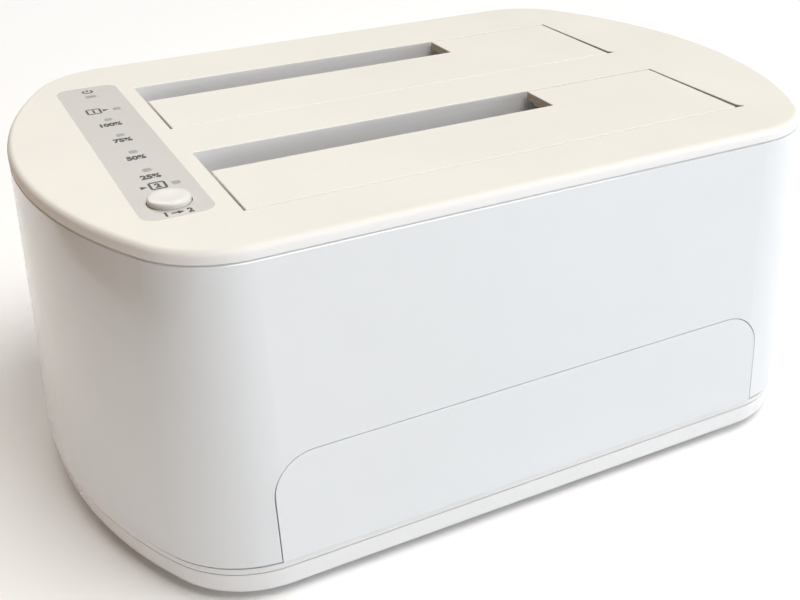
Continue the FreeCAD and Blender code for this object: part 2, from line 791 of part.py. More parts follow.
def make_drive_well(bay):
    """Open-topped well that guides a drive down to its socket, with a recess for the flap's hinge."""
    body = new_body(f"{bay}_drive_well")
    outer = rectangle("-well_wall", WELL_FRONT, "bay_length + well_wall", WELL_BACK)
    pad(body, outer, WELL_BOTTOM, LID_BOTTOM)
    recess_bottom = f"({LID_BOTTOM} - recess_height)"
    root = "well_wall / 2"
    tabs, holes = [], []
    for x in ("front_tab_x", "bay_length - front_tab_x"):
        left, right = f"{x} - tab_width / 2", f"{x} + tab_width / 2"
        tabs.append(rectangle(left, f"-{TAB_OUT}", right, f"{root} - {TAB_OUT} + tab_length"))
        holes.append(octagon(x, f"-{TAB_OUT} + tab_length / 2", "small_clear"))
    for x in ("rear_tab_x", "bay_length - rear_tab_x"):
        left, right = f"{x} - tab_width / 2", f"{x} + tab_width / 2"
        tabs.append(rectangle(left, f"{TAB_BACK} - tab_length - {root}", right, TAB_BACK))
        holes.append(octagon(x, f"{TAB_BACK} - tab_length / 2", "small_clear"))
    pad(body, tabs, TAB_BOTTOM, TAB_TOP)
    pocket(body, rectangle("0", "0", "bay_length", "bay_depth"), WELL_FLOOR_TOP, LID_BOTTOM)
    pocket(body, rectangle("0", "-recess_depth", "bay_length", "0"), recess_bottom, LID_BOTTOM)
    cored = rectangle("well_wall * 3", WELL_FRONT, "bay_length - well_wall * 3", "-well_wall")
    pocket(body, cored, WELL_BOTTOM, f"{recess_bottom} - well_wall")
    hole_length, hole_depth = "socket_length + 2 * port_gap", "socket_depth + 2 * port_gap"
    socket_hole = centred("socket_x + socket_length / 2", SOCKET_Y, hole_length, hole_depth)
    pocket(body, socket_hole, WELL_BOTTOM, WELL_FLOOR_TOP)
    window = rectangle("stop_x - stop_gap", "bay_depth", "stop_x + stop_width + stop_gap", WELL_BACK)
    pocket(body, window, f"{LID_BOTTOM} - window_height", LID_BOTTOM)
    pocket(body, holes, TAB_BOTTOM, TAB_TOP)
    eyes = circle("-hinge_back", HINGE_Z, "pin_radius + press_gap")
    pocket(body, eyes, "-well_wall", "bay_length + well_wall", "YZ")
    place_in_bay(body, bay)


def make_flap(bay):
    """L-shaped flap, flush with the cover, hung on a pin behind the cover's front edge."""
    body = new_body(f"{bay}_flap")
    skin = polygon(
        ("flap_left_gap", "flap_front_gap"),
        ("bay_length - flap_hinge_gap", "flap_front_gap"),
        ("bay_length - flap_right_gap", FLAP_BACK),
        ("slot_length", FLAP_BACK),
        ("slot_length", SLOT_FRONT),
        ("flap_left_gap", SLOT_FRONT),
    )
    pad(body, skin, FLAP_BOTTOM, LID_TOP)
    dress(body, "Chamfer", "flap_round", level(LID_TOP))
    rib_bottom = f"({FLAP_BOTTOM} - rib_depth)"
    wide_rib = f"({FLAP_BACK} - rib_edge - rib_thick)"
    long_ribs = [
        rectangle("rib_side", y, "bay_length - rib_side", f"{y} + rib_thick")
        for y in ("rib_front", f"({SLOT_FRONT} - rib_edge - rib_thick)")
    ]
    wide_start = "slot_length + rib_edge"
    long_ribs.append(rectangle(wide_start, wide_rib, "bay_length - rib_side", f"{wide_rib} + rib_thick"))
    pad(body, long_ribs, rib_bottom, FLAP_BOTTOM)
    cross_ribs = [
        rectangle(x, "rib_front", f"{x} + rib_thick", f"{far} - rib_edge")
        for x, far in (
            ("rib_side", SLOT_FRONT),
            ("slot_length / 3 + rib_side", SLOT_FRONT),
            ("slot_length * 2 / 3 + rib_side", SLOT_FRONT),
            (wide_start, FLAP_BACK),
            ("bay_length - rib_side - rib_thick", FLAP_BACK),
        )
    ]
    pad(body, cross_ribs, rib_bottom, FLAP_BOTTOM)
    web = polygon(
        ("flap_front_gap + flap_round", FLAP_BOTTOM),
        ("flap_front_gap + flap_round", f"{HINGE_Z} + arm_half"),
        ("arm_half - hinge_back - pin_radius", f"{HINGE_Z} + arm_half"),
        ("arm_half - hinge_back - pin_radius", f"{HINGE_Z} - arm_half"),
        ("flap_front_gap + flap_round", f"{HINGE_Z} - arm_half"),
        ("arm_root", f"{HINGE_Z} + pin_radius"),
        ("arm_root", FLAP_BOTTOM),
    )
    for x in ARM_XS:
        pad(body, web, x, f"{x} + arm_width", "YZ")
        pad(body, circle("-hinge_back", HINGE_Z, "knuckle_radius"), x, f"{x} + arm_width", "YZ")
    bore = circle("-hinge_back", HINGE_Z, "pin_radius + pin_fit")
    pocket(body, bore, "0", "bay_length", "YZ")
    stop = rectangle("stop_x", f"{FLAP_BACK} - stop_root", "stop_x + stop_width", "bay_depth + stop_reach")
    pad(body, stop, f"{FLAP_BOTTOM} - stop_thick", FLAP_BOTTOM)
    place_in_bay(body, bay)


def make_hinge_pin(bay):
    body = new_body(f"{bay}_hinge_pin")
    shaft = circle("-hinge_back", HINGE_Z, "pin_radius")
    pad(body, shaft, "fit_gap - well_wall", "bay_length + well_wall - fit_gap", "YZ")
    place_in_bay(body, bay)


def make_flap_spring(bay):
    """Torsion spring round the pin: a close-wound coil, its turns as ridges, and two straight legs."""
    body = new_body(f"{bay}_flap_spring")
    inner = "(pin_radius + fit_gap)"
    outer = f"({inner} + spring_wire)"
    valley = f"({outer} - spring_wire / 4)"
    turns = int(num("spring_turns"))
    profile = [("spring_x", inner), ("spring_x", valley)]
    for turn in range(turns):
        profile.append((f"spring_x + {turn + 0.5} * spring_wire", outer))
        profile.append((f"spring_x + {turn + 1} * spring_wire", valley))
    profile.append((f"spring_x + {turns} * spring_wire", inner))
    sketch = new_sketch(body, "XZ", "-hinge_back")
    polygon(*[(x, f"{HINGE_Z} + {radius}") for x, radius in profile])(sketch)
    axis = sketch.addGeometry(line(0, num(HINGE_Z), 1, num(HINGE_Z)), True)
    locate(sketch, axis, 1, "0", HINGE_Z)
    locate(sketch, axis, 2, "1", HINGE_Z)
    coil = body.newObject("PartDesign::Revolution", "Coil")
    coil.Profile = sketch
    coil.ReferenceAxis = (sketch, ["Axis0"])
    coil.Angle = 360
    body.Tip = coil
    middle = f"({inner} + spring_wire / 2)"
    flap_leg = octagon("spring_x + spring_wire / 2", f"{HINGE_Z} + {middle}", "spring_wire / 2")
    pad(body, flap_leg, "-hinge_back", "spring_leg - hinge_back", "XZ")
    wall_leg_x = f"spring_x + {turns - 0.5} * spring_wire"
    wall_leg = octagon(wall_leg_x, f"-hinge_back - {middle}", "spring_wire / 2")
    pad(body, wall_leg, f"{HINGE_Z} - spring_leg", HINGE_Z)
    place_in_bay(body, bay)


def key_slot(end, key, far):
    """L-shaped slot from its keyed end to its far end."""
    back = f"{SOCKET_Y} + slot_thick / 2"
    front = f"{SOCKET_Y} - slot_thick / 2"
    toe = f"{front} - key_reach"
    return polygon((end, back), (far, back), (far, front), (key, front), (key, toe), (end, toe))


def make_drive_socket(bay):
    """Upright drive socket: a block with a long power slot and a short data slot, each with its key."""
    body = new_body(f"{bay}_drive_socket")
    block = centred("socket_x + socket_length / 2", SOCKET_Y, "socket_length", "socket_depth")
    pad(body, block, BOARD_TOP, SOCKET_TOP)
    slots = [
        key_slot(POWER_SLOT, f"({POWER_SLOT} + slot_key)", f"({POWER_SLOT} + power_slot)"),
        key_slot(f"({DATA_SLOT} + data_slot)", f"({DATA_SLOT} + data_slot - slot_key)", DATA_SLOT),
    ]
    pocket(body, slots, f"{SOCKET_TOP} - slot_drop", SOCKET_TOP)
    place_in_bay(body, bay)


def make_socket_contacts(bay):
    """Fifteen power and seven data contacts, standing against the back of their slots."""
    body = new_body(f"{bay}_socket_contacts")
    y = f"({SOCKET_Y} + slot_thick / 2 - contact_thick / 2)"
    for start, count in ((f"({POWER_SLOT} + slot_key)", 15), (DATA_SLOT, 7)):
        blade = centred(f"{start} + contact_start", y, "contact_width", "contact_thick")
        first = pad(body, blade, f"{SOCKET_TOP} - slot_drop", f"{SOCKET_TOP} - contact_sunk")
        doc.recompute()
        row(body, first, "X", f"{count - 1} * contact_pitch", str(count))
    place_in_bay(body, bay)


# ---- boards --------------------------------------------------------------------------------------------

def blocks(label, spots, width, depth, height):
    """Plain blocks standing on the main board, each centred on its spot."""
    body = new_body(label)
    pad(body, [centred(x, y, width, depth) for x, y in spots], BOARD_TOP, f"{BOARD_TOP} + {height}")


def make_main_board():
    body = new_body("main_board")
    sheet_outline = rectangle("-board_length / 2", "-board_front", "board_length / 2", "board_back")
    pad(body, [sheet_outline] + board_spots("screw_clear"), BOARD_BOTTOM, BOARD_TOP)


def make_board_parts():
    supply = ("supply_x", "supply_x + supply_pitch")
    memory = [("-memory_x", "memory_y"), ("-memory_x - memory_pitch", "memory_y")]
    bridge = [("bridge_x", "bridge_y")]
    coils = [(x, "-inductor_y") for x in supply]
    regulators = [(x, "-regulator_y") for x in supply]
    blocks("bridge_chip", bridge, "bridge_width", "bridge_width", "bridge_height")
    blocks("memory_chips", memory, "memory_width", "memory_depth", "memory_height")
    blocks("power_inductors", coils, "inductor_width", "inductor_width", "inductor_height")
    blocks("voltage_regulators", regulators, "regulator_width", "regulator_depth", "regulator_height")
    cans = new_body("capacitors")
    can_x = "can_radius + can_edge - board_length / 2"
    can_ys = ("-can_front", "can_back", "can_back + can_pitch")
    pad(cans, [octagon(can_x, y, "can_radius") for y in can_ys], BOARD_TOP, f"{BOARD_TOP} + can_height")


def make_indicator_board():
    body = new_body("indicator_board")
    outline = centred("-plate_x", "plate_y", "strip_width", "strip_length")
    pad(body, [outline] + strip_spots("small_clear"), STRIP_BOTTOM, STRIP_TOP)


def make_indicator_lights():
    body = new_body("indicator_lights")
    pad(body, light_spots("lamp_width") + [power_window("0")], STRIP_TOP, f"{STRIP_TOP} + lamp_height")


def make_light_guide():
    """Clear bar under the cover with a peg up to each window and down to each light."""
    body = new_body("light_guide")
    edge = "(light_width / 2 + guide_edge)"
    bar = rectangle(
        f"-plate_x - {edge}",
        f"-side_light_low - {edge}",
        f"side_light_x - plate_x + {edge}",
        f"power_light_y + {edge}",
    )
    guide_top = f"{LID_BOTTOM} - fit_gap"
    pad(body, bar, f"{guide_top} - guide_thick", guide_top)
    pegs = light_spots("light_width") + [power_window("0")]
    pad(body, pegs, f"{STRIP_TOP} + lamp_height + fit_gap", f"{LID_TOP} - print_gap")


def make_indicator_plate():
    body = new_body("indicator_plate")
    holes = light_spots("light_width + 2 * print_gap") + [power_window("2 * print_gap")]
    holes.append(circle("-button_x", "-button_y", "button_radius + fit_gap"))
    pad(body, [plate_outline("2 * print_gap")] + holes, f"{LID_TOP} - plate_thick", f"{LID_TOP} - print_gap")


def make_clone_button():
    body = new_body("clone_button")
    spot = ("-button_x", "-button_y")
    flange_top = f"({LID_BOTTOM} - fit_gap)"
    flange_bottom = f"({flange_top} - flange_thick)"
    button_top = f"({LID_TOP} + button_proud)"
    pad(body, circle(*spot, "button_radius"), flange_top, button_top)
    dress(body, "Chamfer", "button_round", level(button_top))
    pad(body, octagon(*spot, "button_radius + flange_reach"), flange_bottom, flange_top)
    pad(body, octagon(*spot, "stem_radius"), PLUNGER_TOP, flange_bottom)


def make_clone_switch():
    spot = ("-button_x", "-button_y")
    body = new_body("clone_switch")
    pad(body, centred(*spot, "switch_width", "switch_width"), STRIP_TOP, SWITCH_TOP)
    plunger_bottom = f"{SWITCH_TOP} - plunger_sunk"
    bore_bottom = f"{plunger_bottom} - button_travel - fit_gap"
    pocket(body, octagon(*spot, "plunger_radius + fit_gap"), bore_bottom, SWITCH_TOP)
    plunger = new_body("clone_switch_plunger")
    pad(plunger, octagon(*spot, "plunger_radius"), plunger_bottom, PLUNGER_TOP)


def make_ribbon():
    """Two headers, one hanging from the strip board and one on the main board, and the ribbon between."""
    header_bottom = f"({STRIP_BOTTOM} - header_height)"
    spot = ("header_shift - plate_x", "0")
    headers = new_body("ribbon_headers")
    outline = centred(*spot, "header_width", "header_length")
    pad(headers, outline, header_bottom, STRIP_BOTTOM)
    pad(headers, outline, BOARD_TOP, f"{BOARD_TOP} + header_height")
    ribbon = new_body("ribbon_cable")
    pad(ribbon, centred(*spot, "ribbon_thick", "ribbon_width"), f"{BOARD_TOP} + header_height", header_bottom)


# ---- rear sockets --------------------------------------------------------------------------------------

def make_usb_socket():
    """Square-ended two-tier data socket: a steel can with a stepped mouth, and its two contact tongues."""
    body = new_body("usb_socket")
    middle = f"({BOARD_TOP} + usb_height / 2)"
    front = "(ports_depth - port_gap / 2)"
    pad(body, centred("usb_x", middle, "usb_width", "usb_height"), f"{front} - usb_depth", front, "XZ")
    low = f"({BOARD_TOP} + usb_rim)"
    shoulder = f"{low} + usb_shoulder"
    step = f"{shoulder} + usb_step"
    top = f"{step} + usb_upper"
    mouth = polygon(
        ("usb_x - usb_mouth / 2", low),
        ("usb_x + usb_mouth / 2", low),
        ("usb_x + usb_mouth / 2", shoulder),
        ("usb_x + usb_upper_mouth / 2", step),
        ("usb_x + usb_upper_mouth / 2", top),
        ("usb_x - usb_upper_mouth / 2", top),
        ("usb_x - usb_upper_mouth / 2", step),
        ("usb_x - usb_mouth / 2", shoulder),
    )
    pocket(body, mouth, f"{front} - usb_reach", front, "XZ")
    tongues = new_body("usb_contacts")
    outlines = []
    for kind in ("tongue", "upper_tongue"):
        tongue_z = f"{low} + {kind}_low + {kind}_thick / 2"
        outlines.append(centred("usb_x", tongue_z, f"{kind}_width", f"{kind}_thick"))
    pad(tongues, outlines, f"{front} - usb_reach", f"{front} - tongue_sunk", "XZ")


def make_power_jack():
    """Low-voltage inlet: a block behind the panel, a round collar through it and the centre pin."""
    body = new_body("power_jack")
    middle = f"({BOARD_TOP} + jack_height / 2)"
    front = "(ports_depth - port_gap / 2)"
    behind = "(ports_depth - side_wall - port_gap / 2)"
    pad(body, centred("power_x", middle, "jack_width", "jack_height"), f"{behind} - jack_depth", behind, "XZ")
    pad(body, circle("power_x", middle, "collar_radius"), behind, front, "XZ")
    pocket(body, circle("power_x", middle, "jack_radius"), f"{front} - jack_reach", front, "XZ")
    pin = new_body("power_jack_pin")
    pad(pin, circle("power_x", middle, "jack_pin"), f"{front} - jack_reach", f"{front} - tongue_sunk", "XZ")


def make_power_switch():
    """Snap-in switch body with its rim, its two blade terminals and the leads down to the board."""
    body = new_body("power_switch")
    rim = "(ports_depth + rim_thick)"
    behind = "(ports_depth - rocker_depth)"
    spot = ("-rocker_x", "rocker_z")
    pad(body, centred(*spot, "rocker_width", "rocker_height"), behind, "ports_depth", "XZ")
    flange = centred(*spot, "rocker_width + 2 * rim_reach", "rocker_height + 2 * rim_reach")
    pad(body, flange, "ports_depth", rim, "XZ")
    mouth = centred(*spot, "2 * mouth_half", "mouth_height")
    pocket(body, mouth, "rocker_pivot_y - mouth_sunk", rim, "XZ")
    eye_half = "(mouth_height / 2 + peg_reach + port_gap / 4)"
    eyes = circle("-rocker_x", "rocker_pivot_y", "peg_radius + pin_fit")
    pocket(body, eyes, f"rocker_z - {eye_half}", f"rocker_z + {eye_half}")
    blades = new_body("switch_terminals")
    blade_xs = [f"{side} * terminal_x - rocker_x" for side in (-1, 1)]
    tips = [centred(x, "rocker_z", "terminal_width", "terminal_thick") for x in blade_xs]
    pad(blades, tips, f"{behind} - terminal_length", behind, "XZ")
    leads = new_body("switch_leads")
    lead_y = f"{behind} - terminal_length / 2"
    wires = [octagon(x, lead_y, "lead_radius") for x in blade_xs]
    pad(leads, wires, BOARD_TOP, "rocker_z - terminal_thick / 2")


def make_power_rocker():
    """Shallow V-faced rocker on two pegs, resting on one of its two sides."""
    body = new_body("power_rocker")
    face = polygon(
        ("-rocker_half", "rocker_wing"),
        ("0", "rocker_wing - rocker_dip"),
        ("rocker_half", "rocker_wing"),
        ("rocker_half - rocker_taper", "-rocker_back"),
        ("rocker_taper - rocker_half", "-rocker_back"),
    )
    half = "(mouth_height / 2 - port_gap / 2)"
    pad(body, face, f"-{half}", half)
    peg_end = "(mouth_height / 2 + peg_reach)"
    pad(body, circle("0", "0", "peg_radius"), f"-{peg_end}", peg_end)
    place(body, "-rocker_x", "rocker_pivot_y", "rocker_z")
    turn = FreeCAD.Rotation(FreeCAD.Vector(0, 0, 1), num("rocker_tilt"))
    body.Placement = FreeCAD.Placement(body.Placement.Base, turn)
    bind(body, Placement__Rotation__Angle="rocker_tilt")


# ---- feet and screws -----------------------------------------------------------------------------------

def make_feet():
    body = new_body("rubber_feet")
    pad(body, four(circle, "foot_x", "foot_y", "foot_radius"), "0", "foot_proud")


def make_screws(label, spots, sizes, seat, head_end, tip):
    """Screws: the head lies between its seat and its end, and the shank runs on to the tip."""
    head_radius, shank_radius = sizes
    body = new_body(label)
    low, high = sorted((seat, head_end), key=num)
    pad(body, spots(head_radius), low, high)
    if num(tip) > num(high):
        pad(body, spots(shank_radius), high, tip)
    else:
        pad(body, spots(shank_radius), tip, low)


def make_all_screws():
    large = ("screw_head", "screw_shank")
    small = ("small_head", "small_shank")
    head, tip = f"{FLOOR_TOP} - base_head_height", f"{LUG_TOP} + base_screw_reach"
    make_screws("base_screws", boss_spots, large, FLOOR_TOP, head, tip)
    head, tip = f"{BOARD_TOP} + board_head_height", f"{BOARD_BOTTOM} - board_screw_reach"
    make_screws("board_screws", board_spots, large, BOARD_TOP, head, tip)
    head, tip = f"{TAB_BOTTOM} - small_head_height", f"{TAB_TOP} + small_screw_reach"
    make_screws("well_screws", tab_spots, small, TAB_BOTTOM, head, tip)
    head, tip = f"{STRIP_BOTTOM} - small_head_height", f"{STRIP_TOP} + small_screw_reach"
    make_screws("strip_screws", strip_spots, small, STRIP_BOTTOM, head, tip)


def write_parts():
    doc.recompute()
    os.makedirs("parts", exist_ok=True)
    for item in doc.Objects:
        if {"Invalid", "Error"} & set(item.State):
            raise RuntimeError(f"{item.Label} failed: {item.State}")
    for piece in pieces:
        if piece.Shape.isNull() or not piece.Shape.isValid():
            raise RuntimeError(f"{piece.Label} has no valid shape")
    for piece in pieces:
        piece.Shape.exportStep(f"parts/{piece.Label}.step")


make_base_tray()
make_side_shell()
make_front_panel()
make_top_cover()
for bay in BAY_Y:
    make_drive_well(bay)
    make_flap(bay)
    make_hinge_pin(bay)
    make_flap_spring(bay)
    make_drive_socket(bay)
    make_socket_contacts(bay)
make_main_board()
make_board_parts()
make_indicator_board()
make_indicator_lights()
make_light_guide()
make_indicator_plate()
make_clone_button()
make_clone_switch()
make_ribbon()
make_usb_socket()
make_power_jack()
make_power_switch()
make_power_rocker()
make_feet()
make_all_screws()
write_parts()
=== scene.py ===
import bpy
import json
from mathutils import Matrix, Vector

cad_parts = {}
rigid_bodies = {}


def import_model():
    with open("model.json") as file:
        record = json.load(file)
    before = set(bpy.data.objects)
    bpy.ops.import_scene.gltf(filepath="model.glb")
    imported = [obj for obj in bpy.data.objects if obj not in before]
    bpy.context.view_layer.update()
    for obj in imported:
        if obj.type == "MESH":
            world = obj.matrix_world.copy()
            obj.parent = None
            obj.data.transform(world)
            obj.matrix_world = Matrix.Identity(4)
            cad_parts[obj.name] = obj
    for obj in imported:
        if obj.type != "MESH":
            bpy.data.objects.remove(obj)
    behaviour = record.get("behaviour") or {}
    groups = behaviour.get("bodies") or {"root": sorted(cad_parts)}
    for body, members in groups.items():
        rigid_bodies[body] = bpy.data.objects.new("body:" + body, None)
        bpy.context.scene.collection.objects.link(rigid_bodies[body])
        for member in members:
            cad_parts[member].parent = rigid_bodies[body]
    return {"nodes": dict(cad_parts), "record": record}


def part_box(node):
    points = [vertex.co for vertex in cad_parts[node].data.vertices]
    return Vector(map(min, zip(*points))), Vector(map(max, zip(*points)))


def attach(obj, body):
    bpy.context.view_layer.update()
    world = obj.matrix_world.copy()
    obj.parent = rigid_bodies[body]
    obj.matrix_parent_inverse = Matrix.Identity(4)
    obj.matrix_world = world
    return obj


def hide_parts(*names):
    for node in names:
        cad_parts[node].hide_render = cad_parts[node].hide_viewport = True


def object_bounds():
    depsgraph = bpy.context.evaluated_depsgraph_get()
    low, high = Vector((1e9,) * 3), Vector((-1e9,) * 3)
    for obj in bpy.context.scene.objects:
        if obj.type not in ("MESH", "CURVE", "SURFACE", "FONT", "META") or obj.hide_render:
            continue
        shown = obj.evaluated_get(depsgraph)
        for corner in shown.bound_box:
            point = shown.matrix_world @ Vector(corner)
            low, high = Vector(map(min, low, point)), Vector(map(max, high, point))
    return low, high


for leftover in list(bpy.data.objects):
    bpy.data.objects.remove(leftover)
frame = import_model()

import json
import math
import bmesh
from bpy.props import FloatProperty, FloatVectorProperty, IntProperty, PointerProperty
from mathutils import Matrix, Vector

bl_info = {
    "name": "Twin-bay drive duplicator",
    "version": (1, 0, 0),
    "blender": (4, 5, 0),
    "location": "3D View > Sidebar > Duplicator",
    "description": "Dresses the packed drive duplicator with finished mouldings, markings and metal parts",
    "category": "Add Mesh",
}

CAD_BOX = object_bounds()
CAD_COVER_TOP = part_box("top_cover")[1][2]
NODE_SLOTS = {part["node"]: part["material_slot"] for part in frame["record"]["subparts"]}
HOUSING = "housing"
BAYS = ("front", "rear")
MM = 0.001


# ---- sizes and colours a user would change -------------------------------------------------------------

def length(name, description, default):
    """A length in metres with its unit."""
    return FloatProperty(name=name, description=description, default=default, subtype="DISTANCE",
                         unit="LENGTH")


def colour(name, description, default):
    """A linear colour."""
    return FloatVectorProperty(name=name, description=description, default=default, size=3, subtype="COLOR",
                               min=0.0, max=1.0)


class MouldingSizes(bpy.types.PropertyGroup):
    """Sizes of the moulded edges and their grain"""
    edge: length("Moulded edge", "Radius that softens the edges of the mouldings", 0.00022)
    grain: length("Grain size", "Size of the cover's spark grain", 0.00045)
    grain_depth: length("Grain depth", "Depth of the cover's spark grain", 0.000012)


class MarkingSizes(bpy.types.PropertyGroup):
    """Sizes of the strip's print and lamp windows"""
    print_height: length("Print height", "Height of the numerals on the strip", 0.0025)
    print_rise: length("Print thickness", "How far the print stands above the strip", 0.00003)
    lamp_width: length("Lamp window", "Width of a lamp window in the strip", 0.0015)


class MetalSizes(bpy.types.PropertyGroup):
    """Sizes of the flap springs"""
    spring_wire: length("Spring wire", "Thickness of the flap springs' wire", 0.0004)
    spring_turns: IntProperty(name="Spring turns", description="Turns in each flap spring", default=2,
                              min=2, max=12)


class FinishColours(bpy.types.PropertyGroup):
    """Colours of the finishes"""
    cover: colour("Cover", "Matt cover and flaps", (0.785, 0.765, 0.708))
    shell: colour("Shell", "Glossy side shell", (0.775, 0.805, 0.835))
    base: colour("Base", "Base tray", (0.85, 0.86, 0.875))
    well: colour("Well", "Walls of the drive bays", (0.88, 0.875, 0.87))
    strip: colour("Strip", "Silver lamp strip", (0.60, 0.585, 0.56))
    print_ink: colour("Print", "Ink of the numerals", (0.06, 0.06, 0.065))
    board: colour("Board", "Solder mask of the boards", (0.012, 0.10, 0.045))
    gold: colour("Gold", "Plated contacts", (0.83, 0.60, 0.25))
    rubber: colour("Rubber", "Feet", (0.03, 0.03, 0.032))


def sizes(name):
    """One of the scene's groups of sizes or colours."""
    return getattr(bpy.context.scene, name)


# ---- shared effects ------------------------------------------------------------------------------------

def effect_group(name, inputs, outputs):
    """A shader node group with named sockets."""
    group = bpy.data.node_groups.new(name, "ShaderNodeTree")
    for label, default in inputs:
        socket = group.interface.new_socket(name=label, in_out="INPUT", socket_type="NodeSocketFloat")
        socket.default_value = default
    for label, kind in outputs:
        group.interface.new_socket(name=label, in_out="OUTPUT", socket_type=kind)
    return group, group.nodes.new("NodeGroupInput"), group.nodes.new("NodeGroupOutput")


def add(tree, kind, **values):
    """A node with its settings, and its unlinked inputs set by name."""
    node = tree.nodes.new(kind)
    for key, value in values.pop("inputs", {}).items():
        node.inputs[key].default_value = value
    for key, value in values.items():
        setattr(node, key, value)
    return node


def maths(tree, operation, first, second):
    """A Math node on sockets or numbers."""
    node = tree.nodes.new("ShaderNodeMath")
    node.operation = operation
    for place, value in enumerate((first, second)):
        if isinstance(value, (int, float)):
            node.inputs[place].default_value = value
        else:
            tree.links.new(value, node.inputs[place])
    return node.outputs[0]


def spread(tree, value, low, high, to_low=0.0, to_high=1.0):
    """A clamped Map Range."""
    node = add(tree, "ShaderNodeMapRange", inputs={"From Min": low, "From Max": high, "To Min": to_low,
                                                    "To Max": to_high})
    tree.links.new(value, node.inputs["Value"])
    return node.outputs["Result"]


def noise(tree, scale, detail=2.0, rough=0.5, vector=None):
    """A noise texture on Object coordinates, its scale a number or a socket."""
    node = add(tree, "ShaderNodeTexNoise", inputs={"Detail": detail, "Roughness": rough})
    if isinstance(scale, (int, float)):
        node.inputs["Scale"].default_value = scale
    else:
        tree.links.new(scale, node.inputs["Scale"])
    if vector is None:
        vector = tree.nodes.new("ShaderNodeTexCoord").outputs["Object"]
    tree.links.new(vector, node.inputs["Vector"])
    return node.outputs["Fac"]


def moulded_grain():
    """Fine moulded texture: spark grain, slow waves of the tool, and a faint mottle."""
    group, into, out = effect_group(
        "moulded_grain",
        [("Grain per metre", 2200.0), ("Grain share", 1.0), ("Wave per metre", 60.0), ("Wave share", 0.2)],
        [("Height", "NodeSocketFloat"), ("Mottle", "NodeSocketFloat"), ("Scuff", "NodeSocketFloat")])
    fine = noise(group, into.outputs["Grain per metre"], 3.0, 0.6)
    wave = noise(group, into.outputs["Wave per metre"], 1.0, 0.4)
    height = maths(group, "ADD", maths(group, "MULTIPLY", fine, into.outputs["Grain share"]),
                   maths(group, "MULTIPLY", wave, into.outputs["Wave share"]))
    group.links.new(height, out.inputs["Height"])
    mottle = noise(group, 28.0, 5.0, 0.62)
    group.links.new(spread(group, mottle, 0.35, 0.65), out.inputs["Mottle"])
    stretched = add(group, "ShaderNodeMapping", inputs={"Scale": (18.0, 420.0, 420.0)})
    group.links.new(group.nodes.new("ShaderNodeTexCoord").outputs["Object"], stretched.inputs["Vector"])
    lines = noise(group, 1.0, 4.0, 0.7, stretched.outputs["Vector"])
    group.links.new(spread(group, lines, 0.62, 0.78), out.inputs["Scuff"])
    return group


def settled_dust():
    """Where dust settles: on faces that look up, in soft patches."""
    group, into, out = effect_group(
        "settled_dust",
        [("Amount", 0.3), ("Patch per metre", 140.0)],
        [("Mask", "NodeSocketFloat")])
    face = group.nodes.new("ShaderNodeNewGeometry")
    split = group.nodes.new("ShaderNodeSeparateXYZ")
    group.links.new(face.outputs["Normal"], split.inputs["Vector"])
    up = spread(group, split.outputs["Z"], 0.3, 1.0)
    patches = spread(group, noise(group, into.outputs["Patch per metre"], 6.0, 0.7), 0.4, 0.8)
    mask = maths(group, "MULTIPLY", maths(group, "MULTIPLY", up, patches), into.outputs["Amount"])
    group.links.new(mask, out.inputs["Mask"])
    return group


def drawn_metal():
    """Fine lines along one axis and a slow tarnish, for plated and drawn metal."""
    group, into, out = effect_group(
        "drawn_metal",
        [("Lines per metre", 6000.0), ("Tarnish per metre", 300.0)],
        [("Height", "NodeSocketFloat"), ("Tarnish", "NodeSocketFloat")])
    stretched = add(group, "ShaderNodeMapping", inputs={"Scale": (0.06, 1.0, 1.0)})
    group.links.new(group.nodes.new("ShaderNodeTexCoord").outputs["Object"], stretched.inputs["Vector"])
    lines = noise(group, into.outputs["Lines per metre"], 2.0, 0.5, stretched.outputs["Vector"])
    group.links.new(lines, out.inputs["Height"])
    tarnish = spread(group, noise(group, into.outputs["Tarnish per metre"], 4.0, 0.6), 0.35, 0.7)
    group.links.new(tarnish, out.inputs["Tarnish"])
    return group


EFFECTS = {}


def effect(tree, maker, **values):
    """The shared group placed in a material with its own values."""
    name = maker.__name__
    if name not in EFFECTS:
        EFFECTS[name] = maker()
    node = tree.nodes.new("ShaderNodeGroup")
    node.node_tree = EFFECTS[name]
    for label, value in values.items():
        node.inputs[label.replace("_", " ")].default_value = value
    return node


def blank_material(name):
    """A new node material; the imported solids' plain one of that name gives its name up."""
    plain = bpy.data.materials.get(name)
    if plain:
        plain.name = name + "_plain"
    material = bpy.data.materials.new(name)
    material.use_nodes = True
    tree = material.node_tree
    return material, tree, tree.nodes["Principled BSDF"]


def mixed(tree, mask, first, second):
    """Two colours mixed by a mask; either may be a socket."""
    node = add(tree, "ShaderNodeMix", data_type="RGBA")
    tree.links.new(mask, node.inputs["Factor"])
    for label, value in (("A", first), ("B", second)):
        socket = next(item for item in node.inputs if item.name == label and item.type == "RGBA")
        if isinstance(value, (tuple, list)):
            socket.default_value = (*value, 1.0)
        else:
            tree.links.new(value, socket)
    return next(item for item in node.outputs if item.type == "RGBA")


def bumped(tree, shader, height, distance, strength=1.0):
    """Feeds a height to the shader's normal, as deep as the distance in metres."""
    node = add(tree, "ShaderNodeBump", inputs={"Strength": strength, "Distance": distance})
    tree.links.new(height, node.inputs["Height"])
    tree.links.new(node.outputs["Normal"], shader.inputs["Normal"])


def shade(base, factor):
    """A colour made darker or lighter."""
    return tuple(min(1.0, channel * factor) for channel in base)


DUST = (0.55, 0.53, 0.50)


